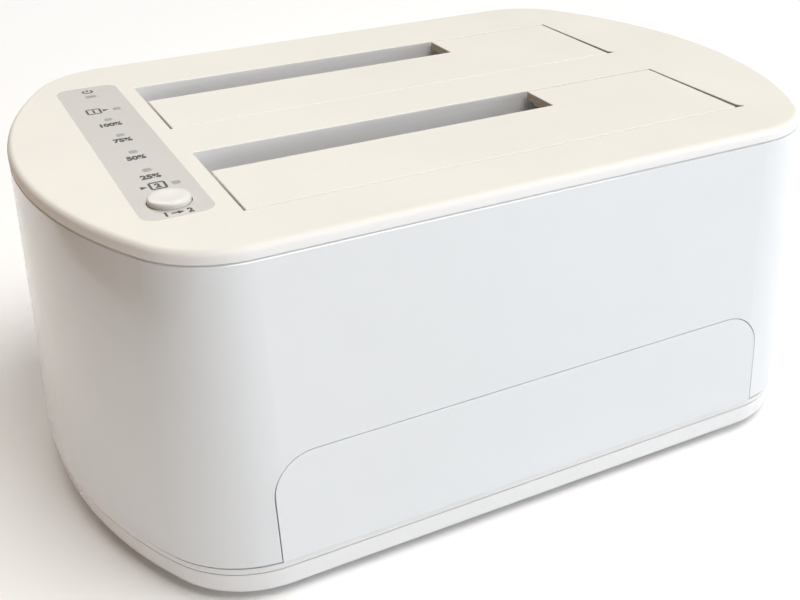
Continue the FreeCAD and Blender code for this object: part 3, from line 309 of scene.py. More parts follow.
def plastic(name, tint, rough, rough_span=0.06, grain=2200.0, grain_share=1.0, wave_share=0.2, depth=0.00001,
            mottle=0.965, dust=0.0, specular=0.5, coat=0.0):
    """Moulded plastic: a mottled colour, grain or waves in its surface, faint scuffs and settled dust."""
    material, tree, shader = blank_material(name)
    grain_node = effect(tree, moulded_grain, Grain_per_metre=grain, Grain_share=grain_share,
                        Wave_share=wave_share)
    base = mixed(tree, grain_node.outputs["Mottle"], shade(tint, mottle), tint)
    if dust:
        film = effect(tree, settled_dust, Amount=dust)
        base = mixed(tree, film.outputs["Mask"], base, DUST)
    tree.links.new(base, shader.inputs["Base Color"])
    worn = spread(tree, grain_node.outputs["Mottle"], 0.0, 1.0, rough, rough + rough_span)
    scuffed = maths(tree, "MULTIPLY", grain_node.outputs["Scuff"], rough_span)
    tree.links.new(maths(tree, "ADD", worn, scuffed), shader.inputs["Roughness"])
    bumped(tree, shader, grain_node.outputs["Height"], depth)
    shader.inputs["Specular IOR Level"].default_value = specular
    shader.inputs["Coat Weight"].default_value = coat
    return material


# Painted shade: the darker brown given to the right end walls of the bays, where they stand in the shade of
# the dark bay beyond.
END_WALL_SHADE = (0.58, 0.52, 0.40)
FADE = 2 * MM


def cover_material(name, tint, rim_and_wall_tone, grain, depth):
    """The cover's cream where it faces up, and painted light on the rest: a whiter, cooler tone on its rim
    and its openings' walls, with painted shade in darker brown on the right end walls.
    """
    material = plastic(name, tint, 0.50, grain=grain, depth=depth, mottle=0.975, dust=0.03, specular=0.35)
    tree = material.node_tree
    shader = tree.nodes["Principled BSDF"]
    up_facing_tone = shader.inputs["Base Color"].links[0].from_socket
    face = tree.nodes.new("ShaderNodeNewGeometry")
    normal = tree.nodes.new("ShaderNodeSeparateXYZ")
    tree.links.new(face.outputs["Normal"], normal.inputs["Vector"])
    place = tree.nodes.new("ShaderNodeSeparateXYZ")
    tree.links.new(tree.nodes.new("ShaderNodeTexCoord").outputs["Object"], place.inputs["Vector"])
    # Painted light: faces that stand up, the rim and the openings' walls, take a whiter, cooler tone than the
    # cream top, for how they are lit.
    upright = spread(tree, normal.outputs["Z"], 0.45, 0.93, 1.0, 0.0)
    low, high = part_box("front_drive_well")
    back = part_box("rear_drive_well")[1].y
    within_x = maths(tree, "MULTIPLY", spread(tree, place.outputs["X"], low.x - FADE, low.x),
                     spread(tree, place.outputs["X"], high.x, high.x + FADE, 1.0, 0.0))
    within_y = maths(tree, "MULTIPLY", spread(tree, place.outputs["Y"], low.y, low.y + FADE),
                     spread(tree, place.outputs["Y"], back, back + FADE, 1.0, 0.0))
    inside = maths(tree, "MULTIPLY", within_x, within_y)
    flat = tree.nodes.new("ShaderNodeSeparateXYZ")
    tree.links.new(face.outputs["True Normal"], flat.inputs["Vector"])
    # Painted shade: walls facing along X in the right half of the openings turn darker brown.
    sideways = spread(tree, maths(tree, "ABSOLUTE", flat.outputs["X"], 0.0), 0.6, 0.9)
    right_half = spread(tree, place.outputs["X"], 0.0, 10 * MM)
    ends = maths(tree, "MULTIPLY", sideways, maths(tree, "MULTIPLY", inside, right_half))
    walls = mixed(tree, ends, rim_and_wall_tone, END_WALL_SHADE)
    tree.links.new(mixed(tree, upright, up_facing_tone, walls), shader.inputs["Base Color"])
    return material


def well_material(name, tint, grain):
    """The bays' grey plastic, with painted shade in darker brown on the right end walls."""
    material = plastic(name, tint, 0.38, 0.08, grain=grain, depth=0.00001, dust=0.1)
    tree = material.node_tree
    shader = tree.nodes["Principled BSDF"]
    walls = shader.inputs["Base Color"].links[0].from_socket
    face = tree.nodes.new("ShaderNodeNewGeometry")
    normal = tree.nodes.new("ShaderNodeSeparateXYZ")
    tree.links.new(face.outputs["True Normal"], normal.inputs["Vector"])
    # Painted shade: walls facing -X turn darker brown.
    ends = spread(tree, normal.outputs["X"], -0.9, -0.6, 1.0, 0.0)
    tree.links.new(mixed(tree, ends, walls, END_WALL_SHADE), shader.inputs["Base Color"])
    return material


def metal(name, tint, rough, tarnish=0.8):
    """Plated or drawn metal with fine lines and a slow tarnish."""
    material, tree, shader = blank_material(name)
    drawn = effect(tree, drawn_metal)
    base = mixed(tree, drawn.outputs["Tarnish"], shade(tint, tarnish), tint)
    tree.links.new(base, shader.inputs["Base Color"])
    tree.links.new(spread(tree, drawn.outputs["Tarnish"], 0.0, 1.0, rough + 0.12, rough),
                   shader.inputs["Roughness"])
    bumped(tree, shader, drawn.outputs["Height"], 0.000002)
    shader.inputs["Metallic"].default_value = 1.0
    return material


def clear_plastic(name, tint, rough):
    """Frosted light pipe or lamp lens."""
    material, tree, shader = blank_material(name)
    grain_node = effect(tree, moulded_grain, Grain_per_metre=1800.0, Grain_share=0.6)
    base = mixed(tree, grain_node.outputs["Mottle"], shade(tint, 0.92), tint)
    tree.links.new(base, shader.inputs["Base Color"])
    tree.links.new(spread(tree, grain_node.outputs["Mottle"], 0.0, 1.0, rough, rough + 0.08),
                   shader.inputs["Roughness"])
    bumped(tree, shader, grain_node.outputs["Height"], 0.000006)
    shader.inputs["Transmission Weight"].default_value = 0.35
    shader.inputs["IOR"].default_value = 1.49
    return material


def board_material(name, tint):
    """Solder mask with copper tracks showing under it."""
    material, tree, shader = blank_material(name)
    place = tree.nodes.new("ShaderNodeTexCoord").outputs["Object"]
    tracks = add(tree, "ShaderNodeTexBrick",
                 inputs={"Scale": 130.0, "Mortar Size": 0.035, "Mortar Smooth": 0.2, "Brick Width": 1.3,
                         "Row Height": 0.23, "Bias": 0.0})
    tree.links.new(place, tracks.inputs["Vector"])
    copper = maths(tree, "SUBTRACT", 1.0, tracks.outputs["Fac"])
    base = mixed(tree, copper, shade(tint, 1.7), tint)
    grain_node = effect(tree, moulded_grain, Grain_per_metre=3000.0, Grain_share=0.5)
    base = mixed(tree, grain_node.outputs["Mottle"], base, shade(tint, 0.8))
    tree.links.new(base, shader.inputs["Base Color"])
    tree.links.new(spread(tree, grain_node.outputs["Mottle"], 0.0, 1.0, 0.28, 0.42),
                   shader.inputs["Roughness"])
    bumped(tree, shader, tracks.outputs["Fac"], 0.00002, 0.6)
    return material


def strip_material(name, tint):
    """Silver paint: fine metal flake under a satin lacquer."""
    material, tree, shader = blank_material(name)
    flake = noise(tree, 5200.0, 1.0, 0.5)
    grain_node = effect(tree, moulded_grain, Grain_per_metre=2600.0, Grain_share=0.5)
    base = mixed(tree, spread(tree, flake, 0.4, 0.6), shade(tint, 0.96), shade(tint, 1.03))
    cloud = spread(tree, grain_node.outputs["Mottle"], 0.0, 1.0, 0.0, 0.25)
    base = mixed(tree, cloud, base, shade(tint, 0.9))
    tree.links.new(base, shader.inputs["Base Color"])
    tree.links.new(spread(tree, flake, 0.35, 0.65, 0.42, 0.5), shader.inputs["Roughness"])
    bumped(tree, shader, grain_node.outputs["Height"], 0.000006)
    shader.inputs["Metallic"].default_value = 0.35
    shader.inputs["Coat Weight"].default_value = 0.15
    return material


MATERIALS = {}

# Black, grey and white mouldings: colour, roughness, its spread, and what differs from a plain moulding.
PLAIN_MOULDINGS = {
    "socket_black": ((0.018, 0.018, 0.02), 0.35, 0.1, {"grain": 2000.0}),
    "switch_black": ((0.016, 0.016, 0.017), 0.33, 0.1, {"grain": 1800.0, "dust": 0.04}),
    "chip_black": ((0.022, 0.022, 0.024), 0.55, 0.1, {"grain": 3500.0, "depth": 0.000008}),
    "ferrite_grey": ((0.07, 0.07, 0.075), 0.6, 0.15, {"grain": 2500.0, "depth": 0.00002}),
    "lead_black": ((0.02, 0.02, 0.021), 0.45, 0.1, {"grain": 1500.0}),
    "ribbon_grey": ((0.35, 0.36, 0.38), 0.45, 0.1, {"grain": 1600.0}),
    "header_white": ((0.72, 0.70, 0.64), 0.4, 0.1, {"grain": 1700.0}),
    "button_white": ((0.74, 0.73, 0.70), 0.3, 0.06,
                     {"grain": 1200.0, "grain_share": 0.3, "mottle": 0.985, "coat": 0.1}),
    "gap_shadow": ((0.05, 0.048, 0.045), 0.6, 0.1, {"grain": 2500.0}),
    "mark_white": ((0.75, 0.75, 0.74), 0.45, 0.1, {"grain": 2500.0, "depth": 0.000004}),
}

# Metals: colour and roughness.
METALS = {
    "spring_steel": ((0.52, 0.51, 0.49), 0.28),
    "pin_steel": ((0.6, 0.6, 0.6), 0.2),
    "screw_steel": ((0.35, 0.35, 0.36), 0.32),
    "shell_steel": ((0.68, 0.68, 0.67), 0.25),
    "can_metal": ((0.66, 0.66, 0.68), 0.3),
}

# Light pipes and lamp lenses: colour and roughness.
CLEAR_PLASTICS = {
    "lamp_clear": ((0.80, 0.82, 0.78), 0.25),
    "guide_clear": ((0.50, 0.50, 0.49), 0.35),
    "lamp_window": ((0.50, 0.50, 0.49), 0.4),
}


def make_materials():
    """One finish for each material slot of the record, and the few that only the dressed pieces use."""
    tint = sizes("duplicator_colours")
    mould = sizes("duplicator_mouldings")
    made = [
        cover_material("cover_white", tuple(tint.cover), tuple(tint.well), 1.0 / mould.grain,
                       mould.grain_depth),
        plastic("shell_white", tuple(tint.shell), 0.16, 0.05, grain=700.0, grain_share=0.08, wave_share=1.0,
                depth=0.00004, mottle=0.985, coat=0.25),
        plastic("base_white", tuple(tint.base), 0.22, 0.06, grain=900.0, grain_share=0.15, wave_share=0.8,
                depth=0.00003, mottle=0.98),
        well_material("well_grey", tuple(tint.well), 1500.0),
        plastic("foot_rubber", tuple(tint.rubber), 0.7, 0.1, grain=1500.0, depth=0.00002, dust=0.2,
                specular=0.3),
        plastic("strip_print", tuple(tint.print_ink), 0.5, 0.1, grain=3000.0, depth=0.000004),
        metal("contact_gold", tuple(tint.gold), 0.22, tarnish=0.85),
        board_material("board_green", tuple(tint.board)),
        strip_material("plate_silver", tuple(tint.strip)),
    ]
    made += [plastic(name, base, rough, span, **rest)
             for name, (base, rough, span, rest) in PLAIN_MOULDINGS.items()]
    made += [metal(name, *values) for name, values in METALS.items()]
    made += [clear_plastic(name, *values) for name, values in CLEAR_PLASTICS.items()]
    MATERIALS.update({material.name: material for material in made})


# ---- mesh tools ----------------------------------------------------------------------------------------

def new_piece(name, mesh, slot_name, body=HOUSING, replaces=()):
    """Puts a finished mesh into the scene with its finish, its body and the nodes it stands for."""
    piece = bpy.data.objects.new(name, mesh)
    bpy.context.scene.collection.objects.link(piece)
    if not mesh.materials:
        mesh.materials.append(MATERIALS[slot_name])
    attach(piece, body)
    if replaces:
        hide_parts(*replaces)
    return piece


def smooth_mesh(mesh, angle=32.0):
    """Smooth shading, with edges sharper than the angle left crisp."""
    mesh.shade_smooth()
    mesh.set_sharp_from_angle(angle=math.radians(angle))


def cad_copy(node):
    """A merged copy of a CAD node's mesh, as a bmesh."""
    work = bmesh.new()
    work.from_mesh(frame["nodes"][node].data)
    bmesh.ops.remove_doubles(work, verts=work.verts, dist=1e-6)
    return work


def baked(holder):
    """The evaluated object as a plain mesh; the object itself goes."""
    graph = bpy.context.evaluated_depsgraph_get()
    mesh = bpy.data.meshes.new_from_object(holder.evaluated_get(graph), depsgraph=graph)
    bpy.data.objects.remove(holder)
    return mesh


FLAT_ANGLE = math.radians(0.4)
EDGE_ANGLE = math.radians(28.0)


def softened(node, width, name, slot_name, body, above):
    """The CAD node again, in its place, with its sharp edges above a height rounded."""
    work = cad_copy(node)
    bmesh.ops.dissolve_limit(work, angle_limit=FLAT_ANGLE, verts=work.verts, edges=work.edges,
                             delimit={"NORMAL"})
    weight = work.edges.layers.float.new("bevel_weight_edge")
    for face in work.faces:
        face.smooth = True
    for edge in work.edges:
        if not edge.is_manifold or edge.calc_face_angle() > EDGE_ANGLE:
            if edge.is_manifold and all(vert.co.z > above for vert in edge.verts):
                edge[weight] = 1.0
            else:
                edge.smooth = False
    rough = bpy.data.meshes.new(name + "_rough")
    work.to_mesh(rough)
    work.free()
    holder = bpy.data.objects.new(name + "_rough", rough)
    bpy.context.scene.collection.objects.link(holder)
    bevel = holder.modifiers.new("edge", "BEVEL")
    bevel.width = width
    bevel.segments = 2
    bevel.limit_method = "WEIGHT"
    bevel.use_clamp_overlap = True
    even = holder.modifiers.new("even", "WEIGHTED_NORMAL")
    even.weight = 100
    even.keep_sharp = True
    mesh = baked(holder)
    mesh.materials.clear()
    return new_piece(name, mesh, slot_name, body, (node,))


def rounded_outline(x0, y0, x1, y1, radius, steps=6):
    """Points of a rounded rectangle, anticlockwise."""
    points = []
    corners = ((x1 - radius, y1 - radius, 0), (x0 + radius, y1 - radius, 90),
               (x0 + radius, y0 + radius, 180), (x1 - radius, y0 + radius, 270))
    for x, y, start in corners:
        for step in range(steps + 1):
            turn = math.radians(start + 90.0 * step / steps)
            points.append((x + radius * math.cos(turn), y + radius * math.sin(turn)))
    return points


def ring_points(x, y, radius, count):
    """Points of a circle, anticlockwise."""
    turns = [2 * math.pi * step / count for step in range(count)]
    return [(x + radius * math.cos(turn), y + radius * math.sin(turn)) for turn in turns]


def ring_verts(work, outline, z):
    """New vertices of a bmesh along an outline at one height."""
    return [work.verts.new((x, y, z)) for x, y in outline]


def bridged(work, rings):
    """Faces between each ring of vertices and the next."""
    for low, high in zip(rings, rings[1:]):
        for step in range(len(low)):
            after = (step + 1) % len(low)
            work.faces.new((low[step], low[after], high[after], high[step]))


def stacked(levels):
    """A closed solid through outlines of one point count, from the lowest to the highest."""
    work = bmesh.new()
    rings = [ring_verts(work, outline, z) for outline, z in levels]
    bridged(work, rings)
    work.faces.new(list(reversed(rings[0])))
    work.faces.new(rings[-1])
    return work


def joined(parts):
    """Several bmeshes as one mesh."""
    mesh = bpy.data.meshes.new("joined")
    whole = bmesh.new()
    for part in parts:
        step = bpy.data.meshes.new("step")
        part.to_mesh(step)
        part.free()
        whole.from_mesh(step)
        bpy.data.meshes.remove(step)
    whole.to_mesh(mesh)
    whole.free()
    return mesh


def corners_of(spots):
    """Lowest and highest corner round some places."""
    return (Vector([min(spot[axis] for spot in spots) for axis in range(3)]),
            Vector([max(spot[axis] for spot in spots) for axis in range(3)]))


def centre_of(low, high):
    """The middle of a box, from its two corners."""
    return tuple((near + far) / 2 for near, far in zip(low, high))


def islands(node):
    """Lowest and highest corner of each separate solid in a CAD node, from left to right."""
    work = cad_copy(node)
    unseen = set(work.verts)
    found = []
    while unseen:
        stack = [unseen.pop()]
        spots = []
        while stack:
            vert = stack.pop()
            spots.append(vert.co.copy())
            for edge in vert.link_edges:
                other = edge.other_vert(vert)
                if other in unseen:
                    unseen.remove(other)
                    stack.append(other)
        found.append(corners_of(spots))
    work.free()
    return sorted(found, key=lambda pair: (round(pair[0].x, 5), round(pair[0].y, 5)))


# ---- geometry node trees -------------------------------------------------------------------------------

def geometry_tree(name, inputs):
    """A geometry tree with its geometry sockets and named inputs."""
    tree = bpy.data.node_groups.new(name, "GeometryNodeTree")
    tree.interface.new_socket(name="Geometry", in_out="INPUT", socket_type="NodeSocketGeometry")
    for label, kind, default in inputs:
        socket = tree.interface.new_socket(name=label, in_out="INPUT", socket_type=kind)
        if default is not None:
            socket.default_value = default
    tree.interface.new_socket(name="Geometry", in_out="OUTPUT", socket_type="NodeSocketGeometry")
    return tree, tree.nodes.new("NodeGroupInput"), tree.nodes.new("NodeGroupOutput")


def finish_tree(tree, into, out, geometry):
    """Every tree ends in Realize Instances and Set Material."""
    real = tree.nodes.new("GeometryNodeRealizeInstances")
    coat = tree.nodes.new("GeometryNodeSetMaterial")
    tree.links.new(geometry, real.inputs["Geometry"])
    tree.links.new(real.outputs["Geometry"], coat.inputs["Geometry"])
    tree.links.new(into.outputs["Material"], coat.inputs["Material"])
    tree.links.new(coat.outputs["Geometry"], out.inputs["Geometry"])
    return tree


def repeat_tree():
    """Places a pattern piece on each point, turned about the points' upright axis by a seeded amount."""
    tree, into, out = geometry_tree("repeat_on_spots", [
        ("Pattern", "NodeSocketObject", None), ("Turn", "NodeSocketFloat", 0.0),
        ("Seed", "NodeSocketInt", 3), ("Material", "NodeSocketMaterial", None)])
    pattern = tree.nodes.new("GeometryNodeObjectInfo")
    tree.links.new(into.outputs["Pattern"], pattern.inputs["Object"])
    chance = tree.nodes.new("FunctionNodeRandomValue")
    chance.data_type = "FLOAT"
    tree.links.new(into.outputs["Seed"], chance.inputs["Seed"])
    amount = tree.nodes.new("ShaderNodeMath")
    amount.operation = "MULTIPLY"
    random_value = next(item for item in chance.outputs if item.type == "VALUE" and item.enabled)
    tree.links.new(random_value, amount.inputs[0])
    tree.links.new(into.outputs["Turn"], amount.inputs[1])
    upright = tree.nodes.new("ShaderNodeCombineXYZ")
    tree.links.new(amount.outputs[0], upright.inputs["Z"])
    placed = tree.nodes.new("GeometryNodeInstanceOnPoints")
    tree.links.new(into.outputs["Geometry"], placed.inputs["Points"])
    tree.links.new(pattern.outputs["Geometry"], placed.inputs["Instance"])
    tree.links.new(upright.outputs["Vector"], placed.inputs["Rotation"])
    return finish_tree(tree, into, out, placed.outputs["Instances"])


def tube_tree():
    """A round tube with closed ends along a curve."""
    tree, into, out = geometry_tree("tube_along_path", [
        ("Radius", "NodeSocketFloat", 0.0003), ("Sides", "NodeSocketInt", 12),
        ("Material", "NodeSocketMaterial", None)])
    ring = tree.nodes.new("GeometryNodeCurvePrimitiveCircle")
    tree.links.new(into.outputs["Radius"], ring.inputs["Radius"])
    tree.links.new(into.outputs["Sides"], ring.inputs["Resolution"])
    sweep = tree.nodes.new("GeometryNodeCurveToMesh")
    tree.links.new(into.outputs["Geometry"], sweep.inputs["Curve"])
    tree.links.new(ring.outputs["Curve"], sweep.inputs["Profile Curve"])
    sweep.inputs["Fill Caps"].default_value = True
    return finish_tree(tree, into, out, sweep.outputs["Mesh"])


TREES = {}


def through_tree(maker, data, slot_name, **values):
    """Runs a tree on curve or mesh data and gives the plain mesh."""
    name = maker.__name__
    if name not in TREES:
        TREES[name] = maker()
    tree = TREES[name]
    holder = bpy.data.objects.new("holder", data)
    bpy.context.scene.collection.objects.link(holder)
    modifier = holder.modifiers.new("tree", "NODES")
    modifier.node_group = tree
    values["Material"] = MATERIALS[slot_name]
    for item in tree.interface.items_tree:
        label = item.name.replace(" ", "_")
        if item.in_out == "INPUT" and label in values:
            modifier[item.identifier] = values[label]
    return baked(holder)


def spots_mesh(spots):
    """A mesh of single points."""
    mesh = bpy.data.meshes.new("spots")
    mesh.from_pydata([tuple(spot) for spot in spots], [], [])
    return mesh


def repeated(work, spots, slot_name, turn=0.0, seed=3, angle=32.0):
    """A pattern, given as a bmesh at the origin, on every spot."""
    pattern_mesh = bpy.data.meshes.new("pattern")
    work.to_mesh(pattern_mesh)
    work.free()
    smooth_mesh(pattern_mesh, angle)
    pattern = bpy.data.objects.new("pattern", pattern_mesh)
    bpy.context.scene.collection.objects.link(pattern)
    mesh = through_tree(repeat_tree, spots_mesh(spots), slot_name, Pattern=pattern, Turn=turn, Seed=seed)
    bpy.data.objects.remove(pattern)
    return mesh


def path_curve(points):
    """An open curve through points."""
    curve = bpy.data.curves.new("path", "CURVE")
    curve.dimensions = "3D"
    spline = curve.splines.new("POLY")
    spline.points.add(len(points) - 1)
    for point, place in zip(spline.points, points):
        point.co = (*place, 1.0)
    return curve


def tube(points, radius, slot_name, sides):
    """A round tube through points, as a plain mesh."""
    mesh = through_tree(tube_tree, path_curve(points), slot_name, Radius=radius, Sides=sides)
    mesh.shade_smooth()
    return mesh


def box_of(node):
    """Lowest and highest corner of a CAD node."""
    low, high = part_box(node)
    return Vector(low), Vector(high)


# ---- stage ---------------------------------------------------------------------------------------------

# Each lamp: where it stands, its width and height, its power in watts, and its tint.
LAMPS = {
    "key_light": ((0.32, -0.34, 1.12), (0.95, 0.75), 14.0, (1.0, 0.985, 0.965)),
    "front_light": ((0.74, -1.12, 0.34), (0.8, 0.5), 2.9, (0.88, 0.94, 1.0)),
    "side_light": ((1.26, -0.56, 0.30), (0.45, 0.4), 3.3, (0.89, 0.95, 1.0)),
    "back_light": ((-0.1, 0.95, 0.85), (1.0, 0.6), 5.0, (1.0, 0.99, 0.97)),
}
LAMP_AIM = Vector((0.0, 0.0, 0.03))

# The card that warms and dims the left end: its plane, and its edges along Y and Z.
CARD_X, CARD_NEAR, CARD_FAR, CARD_FOOT, CARD_TOP = -0.16, -0.14, 0.24, 0.012, 0.18

CAMERA_PLACE = Vector((-0.092922, -0.196343, 0.139073))
CAMERA_RIGHT = Vector((0.88636, -0.46278, -0.01405))
CAMERA_UP = Vector((0.23079, 0.41532, 0.87991))
CAMERA_BACK = Vector((-0.40137, -0.78317, 0.47493))
CAMERA_LENS, CAMERA_SENSOR = 48.77, 36.0
CAMERA_SHIFT = (-0.05, -0.0125)


def sheet(name, corners, material):
    """A flat four-sided sheet of the stage."""
    mesh = bpy.data.meshes.new(name)
    mesh.from_pydata(corners, [], [(0, 1, 2, 3)])
    mesh.materials.append(material)
    piece = bpy.data.objects.new(name, mesh)
    bpy.context.scene.collection.objects.link(piece)
    return piece


def make_floor():
    """White paper that turns to plain white light with distance, and is clear from below."""
    material, tree, shader = blank_material("paper_floor")
    speck = noise(tree, 90.0, 3.0, 0.6)
    paper = mixed(tree, speck, (0.92, 0.92, 0.92), (0.95, 0.95, 0.95))
    away = add(tree, "ShaderNodeVectorMath", operation="LENGTH")
    tree.links.new(tree.nodes.new("ShaderNodeTexCoord").outputs["Object"], away.inputs[0])
    far = spread(tree, away.outputs["Value"], 0.28, 1.15)
    tree.links.new(mixed(tree, far, paper, (0.0, 0.0, 0.0)), shader.inputs["Base Color"])
    tree.links.new(mixed(tree, far, (0.03, 0.03, 0.03), (1.0, 1.0, 1.0)), shader.inputs["Emission Color"])
    shader.inputs["Emission Strength"].default_value = 1.0
    shader.inputs["Roughness"].default_value = 0.9
    shader.inputs["Specular IOR Level"].default_value = 0.1
    under = tree.nodes.new("ShaderNodeMixShader")
    tree.links.new(tree.nodes.new("ShaderNodeNewGeometry").outputs["Backfacing"], under.inputs[0])
    tree.links.new(shader.outputs[0], under.inputs[1])
    tree.links.new(tree.nodes.new("ShaderNodeBsdfTransparent").outputs[0], under.inputs[2])
    tree.links.new(under.outputs[0], tree.nodes["Material Output"].inputs["Surface"])
    reach, level = 6.0, CAD_BOX[0].z
    sheet("floor", [(-reach, -reach, level), (reach, -reach, level), (reach, reach, level),
                    (-reach, reach, level)], material)


def make_card():
    """A brown card at the left end, which shows only in what it reflects."""
    material, tree, shader = blank_material("warm_card")
    fibre = noise(tree, 200.0, 3.0, 0.6)
    tree.links.new(mixed(tree, fibre, (0.21, 0.115, 0.045), (0.24, 0.135, 0.055)),
                   shader.inputs["Base Color"])
    shader.inputs["Roughness"].default_value = 0.9
    card = sheet("side_flag", [(CARD_X, CARD_NEAR, CARD_FOOT), (CARD_X, CARD_FAR, CARD_FOOT),
                               (CARD_X, CARD_FAR, CARD_TOP), (CARD_X, CARD_NEAR, CARD_TOP)], material)
    card.visible_camera = False
    card.visible_shadow = False


def make_world():
    """A weak warm fill from all round, and plain white behind the object."""
    world = bpy.data.worlds.new("studio")
    bpy.context.scene.world = world
    world.use_nodes = True
    tree = world.node_tree
    fill = tree.nodes["Background"]
    fill.inputs["Color"].default_value = (1.0, 0.93, 0.84, 1.0)
    fill.inputs["Strength"].default_value = 0.12
    seen = add(tree, "ShaderNodeBackground", inputs={"Color": (1.0, 1.0, 1.0, 1.0), "Strength": 1.0})
    path = tree.nodes.new("ShaderNodeLightPath")
    mix = tree.nodes.new("ShaderNodeMixShader")
    tree.links.new(path.outputs["Is Camera Ray"], mix.inputs[0])
    tree.links.new(fill.outputs[0], mix.inputs[1])
    tree.links.new(seen.outputs[0], mix.inputs[2])
    tree.links.new(mix.outputs[0], tree.nodes["World Output"].inputs["Surface"])


def make_lamp(name, place, size, power, tint):
    """A rectangular studio lamp aimed at the object."""
    data = bpy.data.lights.new(name, "AREA")
    data.shape = "RECTANGLE"
    data.size, data.size_y = size
    data.energy = power
    data.color = tint
    lamp = bpy.data.objects.new(name, data)
    bpy.context.scene.collection.objects.link(lamp)
    turn = (LAMP_AIM - Vector(place)).to_track_quat("-Z", "Y").to_matrix().to_4x4()
    lamp.matrix_world = Matrix.Translation(place) @ turn


def make_camera():
    """The camera in front, a little to the left and above."""
    scene = bpy.context.scene
    data = bpy.data.cameras.new("camera")
    data.lens = CAMERA_LENS
    data.sensor_width = CAMERA_SENSOR
    data.shift_x, data.shift_y = CAMERA_SHIFT
    data.clip_start = 0.01
    camera = bpy.data.objects.new("camera", data)
    scene.collection.objects.link(camera)
    turn = Matrix((CAMERA_RIGHT, CAMERA_UP, CAMERA_BACK)).transposed().to_4x4()
    camera.matrix_world = Matrix.Translation(CAMERA_PLACE) @ turn
    scene.camera = camera
    scene.view_settings.view_transform = "Standard"


def make_stage():
    """Floor, world, lamps, reflecting card and camera."""
    make_floor()
    make_world()
    for name, values in LAMPS.items():
        make_lamp(name, *values)
    make_card()
    make_camera()


# ---- pieces --------------------------------------------------------------------------------------------

# The mouldings with softened edges: each one's radius, as a share of the moulded edge.
SOFTENED = {
    "top_cover": 1.0, "base_tray": 0.5, "front_panel": 0.4, "front_flap": 0.7, "rear_flap": 0.7,
    "usb_socket": 0.7, "power_jack": 0.9, "power_switch": 0.9, "power_rocker": 1.2,
    "front_drive_socket": 0.6, "rear_drive_socket": 0.6, "bridge_chip": 0.5, "memory_chips": 0.5,
    "voltage_regulators": 0.6, "power_inductors": 1.6, "clone_switch": 0.6, "ribbon_headers": 0.7,
    "clone_switch_plunger": 0.5,
}
PANEL_LAP = 0.07 * MM
LID_RIM = CAD_COVER_TOP - 2 * MM
ANY_HEIGHT = CAD_BOX[0].z - 1.0


def make_mouldings():
    """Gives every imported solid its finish, and the mouldings their softened edges."""
    for node, solid in frame["nodes"].items():
        for slot in solid.material_slots:
            slot.material = MATERIALS[NODE_SLOTS[node]]
    edge = sizes("duplicator_mouldings").edge
    for node, share in SOFTENED.items():
        body = frame["nodes"][node].parent.name.removeprefix("body:")
        above = LID_RIM if node == "top_cover" else ANY_HEIGHT
        piece = softened(node, edge * share, node + "_moulding", NODE_SLOTS[node], body, above)
        if node == "front_panel":
            widened(piece.data, PANEL_LAP)


def widened(mesh, lap):
    """Spreads a panel to both sides and upwards, so that its seam is narrower."""
    across = [vert.co.x for vert in mesh.vertices]
    upward = [vert.co.z for vert in mesh.vertices]
    middle, foot = (min(across) + max(across)) / 2, min(upward)
    wider = 1.0 + 2 * lap / (max(across) - min(across))
    taller = 1.0 + lap / (max(upward) - foot)
    for vert in mesh.vertices:
        vert.co.x = middle + (vert.co.x - middle) * wider
        vert.co.z = foot + (vert.co.z - foot) * taller


FONT_SIZE_PER_HEIGHT = 1.38
BOLDER = 0.075
NARROWER = 0.8


def text_part(words, height, centre, z, rise):
    """Narrow bold numerals as a closed mesh lying on the strip, centred on a spot."""
    data = bpy.data.curves.new("words", "FONT")
    data.body = words
    data.size = height * FONT_SIZE_PER_HEIGHT
    data.align_x = "CENTER"
    data.align_y = "CENTER"
    data.extrude = rise / 2
    data.offset = height * BOLDER
    data.resolution_u = 3
    holder = bpy.data.objects.new("words", data)
    bpy.context.scene.collection.objects.link(holder)
    work = bmesh.new()
    work.from_mesh(baked(holder))
    bmesh.ops.remove_doubles(work, verts=work.verts, dist=1e-7)
    low, high = corners_of([vert.co for vert in work.verts])
    bmesh.ops.scale(work, verts=work.verts, vec=(NARROWER, 1.0, 1.0))
    shift = Vector((centre[0] - NARROWER * (low.x + high.x) / 2, centre[1] - (low.y + high.y) / 2,
                    z + rise / 2))
    bmesh.ops.translate(work, verts=work.verts, vec=shift)
    return work


def band_part(points, width, z, rise):
    """A flat printed line of one width through points."""
    work = bmesh.new()
    count = len(points)
    sides = []
    for place, point in enumerate(points):
        before = Vector(points[max(place - 1, 0)])
        after = Vector(points[min(place + 1, count - 1)])
        along = (after - before).normalized()
        across = Vector((-along.y, along.x)) * width / 2
        sides.append((Vector(point) + across, Vector(point) - across))
    rows = [[work.verts.new((*side, height)) for side in pair for height in (z, z + rise)] for pair in sides]
    for first, second in zip(rows, rows[1:]):
        left_low, left_high, right_low, right_high = first
        next_left_low, next_left_high, next_right_low, next_right_high = second
        work.faces.new((right_high, next_right_high, next_left_high, left_high))
        work.faces.new((left_low, next_left_low, next_right_low, right_low))
        work.faces.new((left_high, next_left_high, next_left_low, left_low))
        work.faces.new((right_low, next_right_low, next_right_high, right_high))
    for ends in (rows[0], rows[-1]):
        work.faces.new((ends[0], ends[1], ends[3], ends[2]))
    bmesh.ops.recalc_face_normals(work, faces=work.faces)
    return work


def outline_part(x0, y0, x1, y1, radius, width, z, rise):
    """A printed rounded frame."""
    outer = rounded_outline(x0, y0, x1, y1, radius, 4)
    inner = rounded_outline(x0 + width, y0 + width, x1 - width, y1 - width,
                            max(radius - width, width / 4), 4)
    work = bmesh.new()
    rings = [ring_verts(work, ring, height)
             for ring, height in ((outer, z), (outer, z + rise), (inner, z + rise), (inner, z))]
    bridged(work, rings + rings[:1])
    bmesh.ops.recalc_face_normals(work, faces=work.faces)
    return work


